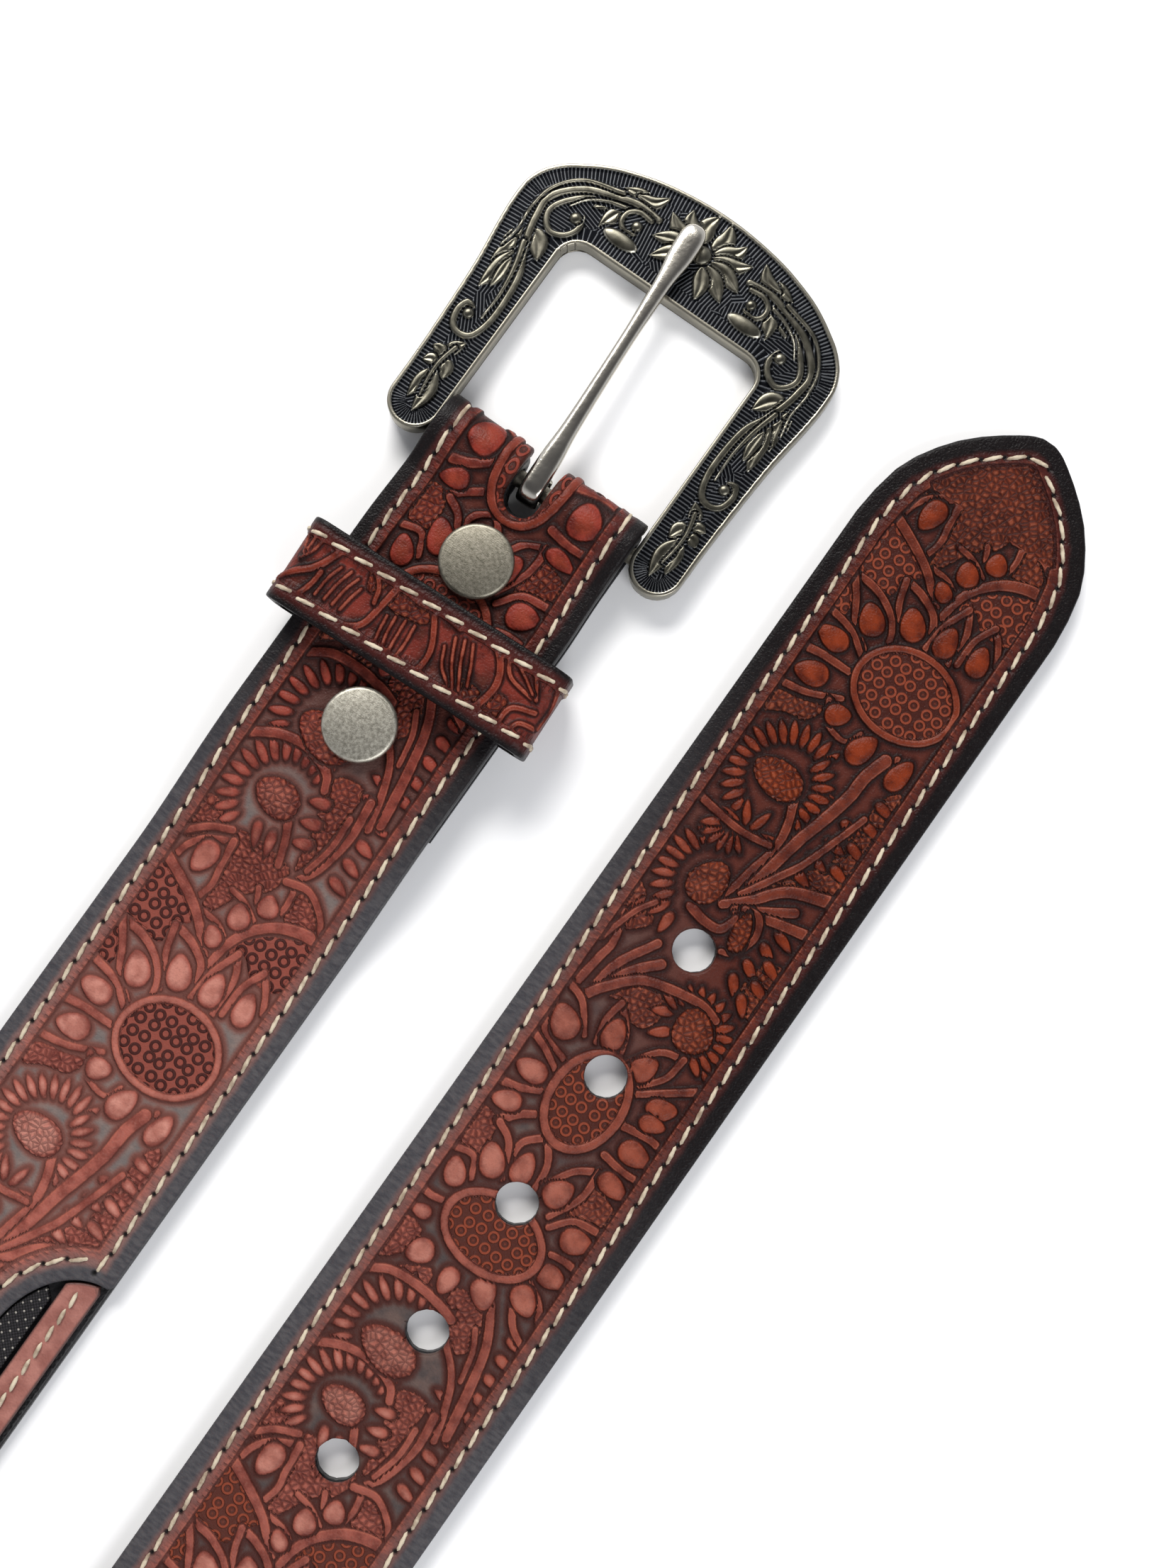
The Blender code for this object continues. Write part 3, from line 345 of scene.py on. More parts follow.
def split(a, b, c, d):
    """Two triangles for each cell with these corners."""
    return np.concatenate([np.stack([a, b, c], -1), np.stack([a, c, d], -1)])


def cells_of(rows, sides, joined=False):
    """The corners of the cells between rings of places, the last ring joined to the first
    or not."""
    last = rows if joined else rows - 1
    i, j = (v.ravel() for v in np.meshgrid(np.arange(last), np.arange(sides), indexing="ij"))
    here, after, beside = i * sides, (i + 1) % rows * sides, (j + 1) % sides
    return here + j, here + beside, after + beside, after + j


def trimmed_grid(loops, step, round_off):
    """A triangle grid that fills the loops up to round_off inside them.

    Gives places, triangles, the boundary's edges, and at each place the way out of it
    and the depth inside."""
    outer = np.asarray(loops[0], float)
    low, high = outer.min(0), outer.max(0)
    counts = np.ceil((high - low) / step).astype(int) + 1
    axes = [np.linspace(low[k] - 1e-4, high[k] + 1e-4, counts[k]) for k in range(2)]
    spacing = max(axes[k][1] - axes[k][0] for k in range(2))
    points = np.stack(np.meshgrid(*axes, indexing="ij"), -1).reshape(-1, 2)
    near, inside, _ = nearest_on(loops, points)
    away = points - near
    depth = np.linalg.norm(away, axis=1)
    inward = np.where(inside, 1.0, -1.0)[:, None] * away / np.maximum(depth, 1e-9)[:, None]
    depth = np.where(inside, depth, -depth)
    snapped = np.abs(depth - round_off) < 0.71 * spacing
    points = np.where(snapped[:, None], near + inward * round_off, points)
    kept = snapped | (depth > round_off)
    index = np.arange(len(points)).reshape(counts)
    corners = (index[:-1, :-1], index[1:, :-1], index[1:, 1:], index[:-1, 1:])
    a, b, c, d = (corner.ravel() for corner in corners)
    faces = split(a, b, c, d)
    other = np.concatenate([np.stack([a, b, d], -1), np.stack([b, c, d], -1)])
    one_way = kept[faces].all(1).reshape(2, -1).sum(0)
    other_way = kept[other].all(1).reshape(2, -1).sum(0)
    faces = np.where(np.tile(other_way > one_way, 2)[:, None], other, faces)
    faces = faces[kept[faces].all(1)]
    p = points[faces]
    u, v = p[:, 1] - p[:, 0], p[:, 2] - p[:, 0]
    area = u[:, 0] * v[:, 1] - u[:, 1] * v[:, 0]
    centres_in = depth[faces].mean(1) > round_off
    faces = faces[(area > 0.02 * spacing**2) & (centres_in | ~snapped[faces].all(1))]
    used = np.zeros(len(points), bool)
    used[faces.ravel()] = True
    renumber = np.cumsum(used) - 1
    faces = renumber[faces]
    points, inward = points[used], inward[used]
    depth = np.where(snapped, round_off, depth)[used]
    edges = np.concatenate([faces[:, [0, 1]], faces[:, [1, 2]], faces[:, [2, 0]]])
    keys = edges[:, 0] * len(points) + edges[:, 1]
    back = edges[:, 1] * len(points) + edges[:, 0]
    border = edges[~np.isin(keys, back)]
    return points, faces, border, -inward, depth


def sheet_of(loops, step, top, bottom, rounding, height=None, underside=False):
    """A flat sheet with rounded upper edges, as s, q, n, triangles and depth inside."""
    places, faces, border, out, depth = trimmed_grid(loops, step, rounding)
    n = np.full(len(places), float(top))
    if height is not None:
        n = n + height(places, depth)
    s_q, levels, triangles, deep = [places], [n], [faces], [depth]
    ring_of = np.full(len(places), -1)
    ids = np.unique(border)
    ring_of[ids] = np.arange(len(ids))
    previous = ids
    total = len(places)
    i, j = ring_of[border].T
    for share, drop in ((0.6, 0.15), (1.0, 0.9), (1.0, None)):
        off = share * rounding
        here = np.arange(total, total + len(ids))
        total += len(ids)
        s_q.append(places[ids] + out[ids] * off)
        levels.append(n[ids] - drop * rounding if drop else np.full(len(ids), float(bottom)))
        deep.append(np.full(len(ids), rounding - off))
        triangles.append(split(previous[j], previous[i], here[i], here[j]))
        previous = here
    if underside:
        under = np.arange(total, total + len(places))
        s_q.append(places)
        levels.append(np.full(len(places), float(bottom)))
        deep.append(depth)
        triangles.append(under[faces[:, ::-1]])
        triangles.append(split(previous[j], previous[i], *under[border].T))
    return *np.concatenate(s_q).T, *(np.concatenate(v) for v in (levels, triangles, deep))


TIP_OUTLINE = (
    # share of the point's length, share of half the strap
    (0.0, 0.06), (0.011, 0.11), (0.029, 0.165), (0.068, 0.25), (0.129, 0.37), (0.205, 0.5),
    (0.3, 0.635), (0.407, 0.75), (0.529, 0.855), (0.657, 0.93), (0.829, 0.977), (1.0, 1.0),
)


def strap_half(s):
    """Half the strap's width: a little less at the buckle, drawn in to the tip."""
    past_fold = np.maximum(s, -s - FOLD_ARC)
    half = 19.65 + 0.35 * smooth((past_fold - 8.0) / 12.0)
    share = (BELT_END - s) / POINT
    return np.where(share < 1, HALF * np.interp(share, *zip(*TIP_OUTLINE)), half)


def strap_outline(start, end):
    """The strap's own outline between two places, as a loop of (s, q)."""
    s = np.arange(start, end, 2.0)
    if end == BELT_END:
        s = np.append(s[s < end - POINT], end - POINT * np.linspace(1, 0, 60))
    else:
        s = np.append(s, end)
    half = strap_half(s)
    return np.concatenate([np.stack([s, -half], -1), np.stack([s, half], -1)[::-1]])


def round_turn(sides):
    """Angles evenly all round."""
    return np.linspace(0, 2 * math.pi, sides, endpoint=False)


def circle(s, q, diameter):
    turn = round_turn(40)
    return np.stack([s + diameter / 2 * np.cos(turn), q + diameter / 2 * np.sin(turn)], -1)


def slot_loop(start, end):
    """The tongue's slot, round at both ends."""
    turn = np.linspace(-math.pi / 2, math.pi / 2, 24)
    ahead, aside = SLOT_WIDTH / 2 * np.cos(turn), SLOT_WIDTH / 2 * np.sin(turn)
    return np.concatenate([np.stack([end + ahead, aside], -1), np.stack([start - ahead, -aside], -1)])


holes = [circle(BELT_END - FIRST_HOLE - HOLE_PITCH * i, 0.0, HOLE) for i in range(5)]
slot_front = 11.4 - FOLD_OUTER - SLOT_WIDTH / 2
slot = slot_loop(-FOLD_ARC - slot_front, slot_front)
necks = [circle(below - FOLD_OUTER, 0.0, NECK_HOLE) for below in SNAPS]
studs = [circle(-FOLD_ARC - (below - FOLD_OUTER), 0.0, STUD_HOLE) for below in SNAPS]
flap_end = -FOLD_ARC - FLAP

black, start = material("black_leather", Specular_IOR_Level=0.22)
grain = start.cells(2.2, "SMOOTH_F1")
scuff = start.noise(0.06, 4.0)
feed(
    black,
    Base_Color=scuff.between(0.45, 0.75).mix(rgb(17, 16, 18), rgb(44, 43, 46)),
    Roughness=0.3 + 0.22 * scuff,
    Normal=(grain * 0.6 + start.noise(0.8, 4.0)).bump(0.12),
)
strap_loops = [strap_outline(flap_end, BELT_END), *holes, slot, *necks, *studs]
s, q, n, faces, _ = sheet_of(strap_loops, 1.3, BACKING, 0.0, 0.5, underside=True)
backing = new_object("backing_leather", lay(s, q, n), faces, "strap", "black_leather", black)
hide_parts("backing_strap")

# The tooled leather of the tip end. Vegetable-tanned leather 1.6 mm thick, pressed with
# sunflowers, paisleys and leaves, stained rust red with dark antiquing in the recesses,
# edged in black and stitched to the backing strap all round.
FINE = 8  # grid places to the millimetre
REPEAT = 190.0  # the length after which the rolled design comes again


class Tooling:
    """Heights in millimetres that tools left in a flat strip, on a fine grid.

    x runs across the strip and t down it, and a repeat makes t run round. "edge" is how
    far a place lies inside its figure's outline, or outside all of them if negative."""

    def __init__(self, low, high, repeats=False, fine=FINE):
        self.low = np.array(low, float)
        self.fine = fine
        self.repeats = repeats
        self.counts = np.round((np.array(high) - low) * fine).astype(int) + (0 if repeats else 1)
        names = ("height", "edge", "pebble", "seeds", "warm")
        self.fields = {name: np.zeros(self.counts) for name in names}

    def window(self, low, high):
        """Grid numbers and places of the part of the grid between two corners."""
        first = np.floor((np.array(low) - self.low) * self.fine).astype(int)
        last = np.ceil((np.array(high) - self.low) * self.fine).astype(int) + 1
        i = np.arange(max(first[0], 0), min(last[0], self.counts[0]))
        j = np.arange(first[1], last[1])
        if not self.repeats:
            j = j[(j >= 0) & (j < self.counts[1])]
        x, t = np.meshgrid(self.low[0] + i / self.fine, self.low[1] + j / self.fine, indexing="ij")
        return np.ix_(i, j % self.counts[1]), x, t

    def raise_to(self, at, height, edge, **others):
        """Cuts a figure over what lies there, with a narrow moat round it."""
        laid = self.fields["height"][at]
        self.fields["height"][at] = np.where(np.abs(edge + 0.13) < 0.13, 0.0, laid)
        values = {"height": height, "edge": edge, "pebble": 0.0, "seeds": 0.0, "warm": 0.0}
        for name, value in {**values, **others}.items():
            field = self.fields[name]
            field[at] = np.where(edge > 0, value, field[at])

    def bead(self, x, t, length, width, turn=0.0, height=0.5, taper=0.25, pebble=0.0):
        """A rounded boss, narrower at its start, with turn in degrees from +x to +t."""
        reach = max(length, width) * 0.7
        at, xs, ts = self.window((x - reach, t - reach), (x + reach, t + reach))
        cosine, sine = math.cos(math.radians(turn)), math.sin(math.radians(turn))
        u = ((xs - x) * cosine + (ts - t) * sine) / (length / 2)
        v = (-(xs - x) * sine + (ts - t) * cosine) / (width / 2)
        v = v / (1 + taper * np.clip(u, -1, 1))
        r = np.hypot(u, v)
        edge = (1 - r) * min(length, width) / 2
        top = height * np.clip(1 - r * r, 0, 1) ** 0.45
        self.raise_to(at, top, edge, pebble=pebble, warm=1.0)

    def rib(self, points, width, end_width=None, height=0.45, groove=0, leaf=False, power=2):
        """A raised band through the points, rounded across, or a pointed leaf. A higher
        power flattens its top."""
        line = spline(points, 0.4)
        ends = line[1:]
        spans = ends - line[:-1]
        arc = np.concatenate([[0], np.cumsum(np.linalg.norm(spans, axis=1))])
        end_width = width if end_width is None else end_width
        reach = max(width, end_width)
        at, xs, ts = self.window(line.min(0) - reach, line.max(0) + reach)
        p = np.stack([xs, ts], -1).reshape(-1, 2)
        best = np.full(len(p), 1e9)
        along = np.zeros(len(p))
        for k, span in enumerate(spans):
            rel = p - line[k]
            f = np.clip((rel @ span) / (span @ span), 0, 1)
            gap = np.linalg.norm(rel - f[:, None] * span, axis=1)
            nearer = gap < best
            best = np.where(nearer, gap, best)
            along = np.where(nearer, arc[k] + f * (arc[k + 1] - arc[k]), along)
        done = along / arc[-1]
        half = (width + (end_width - width) * done) / 2
        if leaf:
            half = width / 2 * np.sin(math.pi * np.clip(done, 0.04, 0.985) ** 0.8) ** 0.8
        top = height * np.clip(1 - (best / half) ** power, 0, 1) ** 0.35
        if groove:
            top = top - groove * np.exp(-((best / (0.22 * half)) ** 2))
        self.raise_to(at, top.reshape(xs.shape), (half - best).reshape(xs.shape))

    def patch(self, points, height=0.25, **fields):
        """A flat raised area inside the points."""
        loop = spline(points, 0.5, closed=True)
        at, xs, ts = self.window(loop.min(0) - 0.5, loop.max(0) + 0.5)
        p = np.stack([xs, ts], -1).reshape(-1, 2)
        near, inside, _ = nearest_on([loop], p)
        gap = np.where(inside, np.linalg.norm(p - near, axis=1), -1.0).reshape(xs.shape)
        self.raise_to(at, height * smooth(gap / 0.5), gap, **fields)

    def flower_head(self, x, t, half_x, half_t, rim=1.5):
        """A head of seeds with a thick rim."""
        at, xs, ts = self.window((x - half_x, t - half_t), (x + half_x, t + half_t))
        share = np.hypot((xs - x) / half_x, (ts - t) / half_t)
        inward = np.hypot(xs - x, ts - t) * (1 / np.maximum(share, 1e-6) - 1)
        self.raise_to(at, 0.16 * np.ones(xs.shape), inward, seeds=1.0)
        band = 1 - np.abs(inward - rim / 2) / (rim / 2)
        self.raise_to(at, 0.55 * np.clip(1 - (1 - band) ** 2, 0, 1) ** 0.35, band * rim / 2)

    def sample(self, name, x, t):
        """The field's value at places, between the grid's own."""
        u = np.clip((x - self.low[0]) * self.fine, 0, self.counts[0] - 1.001)
        v = (t - self.low[1]) * self.fine
        v = v % self.counts[1] if self.repeats else np.clip(v, 0, self.counts[1] - 1.001)
        i, j = np.floor(u).astype(int), np.floor(v).astype(int)
        f, g = u - i, v - j
        field = self.fields[name]
        i2, j2 = np.minimum(i + 1, self.counts[0] - 1), (j + 1) % self.counts[1]
        low = field[i, j] * (1 - f) + field[i2, j] * f
        high = field[i, j2] * (1 - f) + field[i2, j2] * f
        return low * (1 - g) + high * g

    def find_outlines(self, reach=1.5):
        """Fills "edge" outside the figures with how far off the nearest of them is."""
        size = int(reach * self.fine)
        drawn = self.fields["height"] > 0
        gap = np.where(drawn, 0.0, 4.0 * size)
        for k in range(1, size + 1):
            for way in (-k, k):
                gap = np.minimum(gap, np.where(np.roll(drawn, way, 1), k, 4.0 * size))
        square = gap**2
        best = square
        for k in range(1, size + 1):
            for way in (-k, k):
                best = np.minimum(best, np.roll(square, way, 0) + k * k)
        away = np.minimum(np.sqrt(best) / self.fine, reach)
        self.fields["edge"] = np.where(drawn, self.fields["edge"], -away)


def spline(points, step, closed=False):
    """Points along a smooth curve through the given ones."""
    p = np.asarray(points, float)
    if len(p) == 2 and not closed:
        return np.linspace(p[0], p[1], max(2, int(np.linalg.norm(p[1] - p[0]) / step) + 1))
    if closed:
        p = np.concatenate([p[-1:], p, p[:2]])
    else:
        p = np.concatenate([2 * p[:1] - p[1:2], p, 2 * p[-1:] - p[-2:-1]])
    made = []
    for a, b, c, d in zip(p, p[1:], p[2:], p[3:]):
        count = max(1, int(np.linalg.norm(c - b) / step))
        t = np.arange(count)[:, None] / count
        square, cube = 2 * a - 5 * b + 4 * c - d, 3 * b - a - 3 * c + d
        made.append(0.5 * (2 * b + (c - a) * t + square * t**2 + cube * t**3))
    if not closed:
        made.append(p[-2:-1])
    return np.concatenate(made)


BEADS = (
    # across, down, length, width, turn
    (-9.1, 21.6, 6.1, 3.9, -80), (4.5, 22.3, 4.0, 3.5, 70), (1.4, 26.4, 4.4, 3.7, 60),
    (-0.3, 31.2, 3.8, 2.8, 40), (-1.3, 38.6, 6.0, 4.1, 55), (5.0, 37.9, 5.8, 3.8, 85),
    (11.2, 37.5, 5.7, 3.6, 80), (-7.4, 41.8, 6.0, 4.2, 50), (-11.0, 48.0, 6.0, 3.8, 5),
    (-10.6, 54.9, 6.0, 4.2, -15), (-2.9, 58.2, 4.5, 3.6, 150), (3.6, 60.7, 6.3, 4.0, 110),
    (11.2, 60.7, 6.3, 3.4, 100), (-10.8, 125.8, 6.2, 4.8, 45), (-2.9, 122.9, 5.8, 3.8, 80),
    (4.4, 124.7, 5.2, 3.8, 120), (10.6, 128.6, 5.4, 3.6, 150), (-10.7, 135.5, 5.8, 3.8, -5),
    (-11.2, 141.9, 5.2, 3.4, -20), (11.2, 137.1, 5.8, 4.0, 180), (11.2, 143.4, 5.8, 3.4, 190),
    (10.7, 131.4, 4.6, 2.8, 165), (-2.5, 149.4, 5.8, 3.7, 85), (-7.5, 151.2, 6.2, 4.2, 55),
    (4.6, 149.4, 5.6, 4.3, 120), (-11.4, 156.2, 5.2, 3.6, 60), (11.5, 154.2, 5.6, 4.2, 160),
    (11.5, 161.2, 5.2, 3.8, 180), (-12.2, 164.6, 3.6, 2.4, -10), (10.0, 166.9, 5.6, 4.0, 215),
    (3.9, 169.8, 5.4, 4.2, 235), (-2.1, 171.4, 5.0, 3.3, 270), (-8.6, 170.1, 5.0, 4.0, 310),
)
RIBS = (
    # width at the start, width at the end, places
    (1.0, 1.2, ((-13.4, 24.6), (-12.5, 21.4), (-10.4, 18.9), (-6.4, 16.8))),
    (1.2, 1.0, ((-6.4, 16.8), (-5.9, 21.4), (-5.4, 24.6), (-6.3, 28.2))),
    (0.9, 0.9, ((1.4, 20.6), (2.7, 22.9), (5.0, 24.6))),
    (1.0, 0.9, ((6.4, 17.1), (6.9, 20.7), (6.1, 23.9))),
    (0.9, 0.9, ((-2.1, 23.4), (0.8, 23.9), (3.9, 25.6))),
    (0.9, 0.8, ((-3.9, 28.9), (-1.0, 29.1), (1.6, 30.4))),
    (1.7, 1.3, ((-15.0, 24.6), (-10.0, 26.8), (-5.0, 29.5), (-1.4, 32.6), (1.4, 35.2))),
    (2.0, 1.3, ((14.2, 22.3), (10.7, 22.9), (7.1, 24.6), (3.9, 27.9), (2.4, 31.4), (1.9, 35.5))),
    (1.3, 1.1, ((-6.4, 33.0), (-2.9, 33.6), (0.9, 35.7), (2.2, 39.3), (2.1, 41.8))),
    (1.1, 1.0, ((-6.4, 33.0), (-5.4, 36.4), (-4.0, 39.3), (-2.5, 42.5))),
    (1.1, 1.0, ((5.0, 31.1), (6.8, 34.3), (7.5, 37.9), (7.2, 40.9))),
    (1.1, 1.0, ((5.0, 31.1), (3.2, 35.7), (2.6, 40.7))),
    (1.1, 1.0, ((10.4, 31.2), (12.5, 33.6), (14.0, 36.4))),
    (1.1, 1.0, ((10.4, 31.2), (8.7, 35.0), (8.5, 40.0))),
    (1.3, 1.0, ((-14.3, 36.8), (-10.0, 37.1), (-5.9, 38.9), (-3.5, 41.6), (-2.7, 44.3))),
    (1.2, 1.0, ((-14.3, 36.8), (-11.8, 40.0), (-9.3, 43.9), (-5.3, 46.9))),
    (1.2, 1.0, ((-14.8, 44.0), (-9.3, 45.2), (-5.4, 47.8))),
    (1.4, 1.2, ((-14.8, 51.9), (-10.7, 51.3), (-5.4, 51.2))),
    (1.2, 1.0, ((-14.4, 59.0), (-9.3, 58.0), (-4.0, 55.6))),
    (1.1, 0.9, ((7.1, 64.8), (8.0, 61.5), (9.4, 58.5))),
    (1.0, 0.8, ((-5.5, 57.0), (-3.4, 60.4), (0.6, 61.2), (2.0, 58.6))),
    (1.4, 1.2, ((-0.8, 74.0), (0.8, 78.3), (1.2, 82.6), (0.1, 87.6), (-0.8, 91.9), (-2.9, 96.1),
        (-4.7, 98.0))),
    (2.1, 1.8, ((7.9, 60.0), (6.7, 64.0), (6.4, 68.3), (5.3, 73.3), (3.9, 78.3), (3.0, 82.6),
        (1.5, 90.6))),
    (1.0, 1.3, ((10.6, 70.0), (9.0, 75.0), (6.6, 81.9), (4.3, 86.1), (1.0, 92.0))),
    (1.3, 1.1, ((-15.0, 82.2), (-10.0, 82.9), (-5.0, 83.3), (0.2, 82.6))),
    (1.4, 2.2, ((-0.6, 95.0), (2.8, 91.9), (7.1, 87.2), (14.2, 84.4))),
    (1.3, 1.7, ((1.6, 94.6), (5.6, 92.2), (10.0, 89.4))),
    (1.2, 1.9, ((2.1, 95.2), (7.1, 92.9), (14.2, 91.2))),
    (1.6, 1.4, ((-4.7, 98.3), (-1.5, 99.0), (1.4, 98.6), (2.8, 95.6))),
    (1.2, 1.0, ((3.0, 93.6), (5.6, 93.4), (7.0, 96.6), (5.6, 100.5), (3.6, 101.6))),
    (1.4, 1.2, ((-13.0, 119.4), (-12.3, 114.0), (-11.8, 110.4), (-13.2, 105.4))),
    (1.5, 1.5, ((-10.2, 118.8), (-9.2, 113.0), (-5.6, 106.5))),
    (1.3, 1.8, ((-9.8, 119.4), (-6.8, 113.0), (-3.2, 109.0))),
    (0.9, 0.9, ((-13.9, 111.0), (-11.8, 104.4), (-9.8, 101.0))),
    (1.6, 1.5, ((-10.8, 120.4), (-8.3, 116.9), (-4.4, 113.0), (0.6, 111.4), (6.0, 110.6), (9.4, 111.4))),
    (1.2, 1.0, ((-14.3, 120.0), (-10.4, 121.4), (-6.9, 125.8))),
    (1.1, 1.0, ((-14.3, 123.6), (-12.6, 129.0), (-7.4, 131.0))),
    (1.1, 1.0, ((-4.8, 117.9), (-1.6, 121.3), (-0.2, 124.9))),
    (1.1, 1.0, ((-4.8, 117.9), (-5.4, 121.6), (-4.6, 125.6))),
    (1.1, 1.0, ((8.9, 119.7), (5.0, 120.9), (1.6, 125.4))),
    (1.1, 1.0, ((8.9, 119.7), (8.2, 123.8), (5.4, 127.4))),
    (1.3, 1.1, ((14.2, 122.4), (10.2, 125.4), (5.6, 128.9))),
    (1.2, 1.0, ((-14.4, 130.0), (-10.7, 131.4), (-7.2, 133.4))),
    (1.3, 1.2, ((-13.4, 139.6), (-10.6, 138.9), (-7.2, 137.2))),
    (1.5, 1.2, ((-10.4, 145.2), (-8.2, 142.6), (-5.0, 140.4))),
    (1.3, 1.2, ((6.8, 134.3), (11.4, 133.6), (14.4, 133.9))),
    (1.2, 1.1, ((7.1, 139.9), (10.8, 140.4), (14.4, 140.3))),
    (1.2, 1.0, ((-2.1, 142.9), (0.4, 146.6), (0.9, 150.6), (0.4, 153.6))),
    (1.2, 1.0, ((-2.1, 142.9), (-5.2, 146.4), (-4.4, 151.6))),
    (1.2, 1.0, ((-10.0, 145.4), (-6.8, 147.4), (-4.4, 152.8))),
    (1.2, 1.0, ((8.2, 142.6), (4.6, 145.0), (1.8, 149.6))),
    (1.2, 1.0, ((8.2, 142.6), (8.0, 148.0), (5.4, 153.4))),
    (1.1, 1.0, ((-14.3, 153.0), (-10.4, 152.4), (-8.6, 155.6))),
    (1.2, 1.1, ((14.4, 150.8), (9.4, 151.6), (6.4, 154.8))),
    (1.2, 1.1, ((14.4, 158.0), (11.6, 157.8), (9.2, 158.2))),
    (1.2, 1.1, ((-14.3, 161.4), (-12.4, 161.6), (-10.2, 161.2))),
    (1.3, 1.1, ((7.4, 165.6), (10.6, 171.0), (14.2, 173.2))),
    (1.2, 1.4, ((9.0, 164.0), (12.0, 165.8), (14.4, 168.6))),
    (1.3, 1.6, ((-14.3, 177.3), (-10.7, 175.3), (-5.7, 174.8), (-0.7, 175.4), (2.0, 176.2))),
    (1.3, 1.8, ((4.4, 168.2), (7.1, 172.3), (9.3, 176.6), (10.7, 182.3), (11.8, 188.7), (12.2, 192.0))),
    (1.0, 1.4, ((3.4, 179.6), (7.4, 183.6), (9.6, 188.6), (10.9, 193.6))),
    (0.9, 0.9, ((6.2, 175.2), (8.0, 178.6), (9.0, 183.4))),
    (1.4, 1.3, ((-15.0, 2.3), (-10.1, -0.2), (-5.0, -0.9), (-0.1, 0.5), (1.4, 2.7))),
    (1.3, 1.2, ((-0.8, 9.3), (0.6, 12.0), (1.9, 15.8))),
    (1.4, 1.2, ((8.9, 0.5), (9.4, 6.3), (8.0, 12.7), (6.0, 16.0))),
    (1.0, 0.9, ((7.6, 4.0), (7.7, 9.0), (6.4, 14.0))),
    (1.0, 1.2, ((-14.4, 20.0), (-11.4, 17.2), (-7.6, 15.4))),
    (1.2, 1.0, ((4.6, 17.2), (8.6, 16.4), (12.2, 18.4), (14.2, 21.0))),
)
PODS = (
    # across, down, length, width, turn: paisley hearts
    (-5.1, 72.6, 9.6, 6.4, 5), (-4.6, 93.3, 8.4, 6.4, 105), (4.6, 97.2, 7.4, 3.4, 80),
    (7.4, 115.0, 7.8, 7.0, 60), (-3.6, 186.2, 11.0, 6.8, 8), (-4.5, 7.5, 8.4, 5.8, 5),
)
FRINGES = (
    # centre across and down, radius, from and to angle, fingers, length: rays round a heart
    (-4.0, 72.6, 8.4, 118, 300, 15, 3.2), (-4.5, 72.8, 7.2, 305, 395, 7, 2.8),
    (-3.6, 93.4, 8.5, 135, 262, 11, 3.2), (6.8, 115.4, 5.9, 205, 405, 13, 2.6),
    (-3.6, 184.6, 9.0, 150, 300, 11, 3.4), (-4.2, 8.0, 8.2, 130, 300, 13, 3.2),
    (-4.6, 83.4, 3.4, 200, 340, 4, 3.6), (-7.0, 83.0, 3.2, 45, 150, 6, 3.4),
)
LOBES = (
    # across, down, turn, length: teeth of the leaves' edges
    (3.0, 71.0, 170, 3.4), (3.0, 74.0, 175, 3.4), (2.8, 76.8, 180, 3.2), (2.5, 79.6, 185, 2.8),
    (9.6, 72.5, 10, 3.0), (9.2, 76.6, 15, 3.2), (8.2, 80.4, 20, 3.2), (7.6, 84.0, 25, 3.0),
    (12.6, 67.0, 20, 3.0), (12.8, 71.0, 20, 3.0), (12.6, 75.4, 25, 3.0), (12.4, 80.0, 25, 3.0),
    (11.2, 94.4, 30, 3.4), (10.2, 97.6, 40, 3.4), (12.4, 99.6, 35, 3.2), (9.4, 101.4, 40, 3.2),
    (12.6, 103.4, 30, 3.2), (8.6, 105.0, 60, 3.4), (11.6, 107.0, 60, 3.2), (-9.0, 101.4, 120, 3.4),
    (-6.6, 102.9, 100, 3.2), (-11.6, 102.8, 130, 3.2), (1.4, 115.1, 160, 3.0), (3.0, 118.2, 150, 3.2),
    (12.6, 119.6, 40, 3.0), (13.0, 173.6, 20, 2.6), (13.2, 177.0, 20, 2.6), (13.3, 180.6, 20, 2.6),
    (13.5, 184.2, 20, 2.6), (13.6, 187.6, 15, 2.4), (8.2, 187.0, 190, 2.6), (8.8, 190.2, 190, 2.6),
    (12.4, 2.6, 20, 3.0), (12.4, 6.3, 20, 3.0), (12.3, 9.8, 25, 3.0), (12.2, 13.2, 25, 3.0),
    (1.9, 4.6, 170, 2.8), (2.6, 7.8, 170, 2.8), (3.2, 11.0, 170, 2.8), (-4.0, 13.9, 75, 3.4),
    (-1.3, 13.9, 85, 3.4),
)
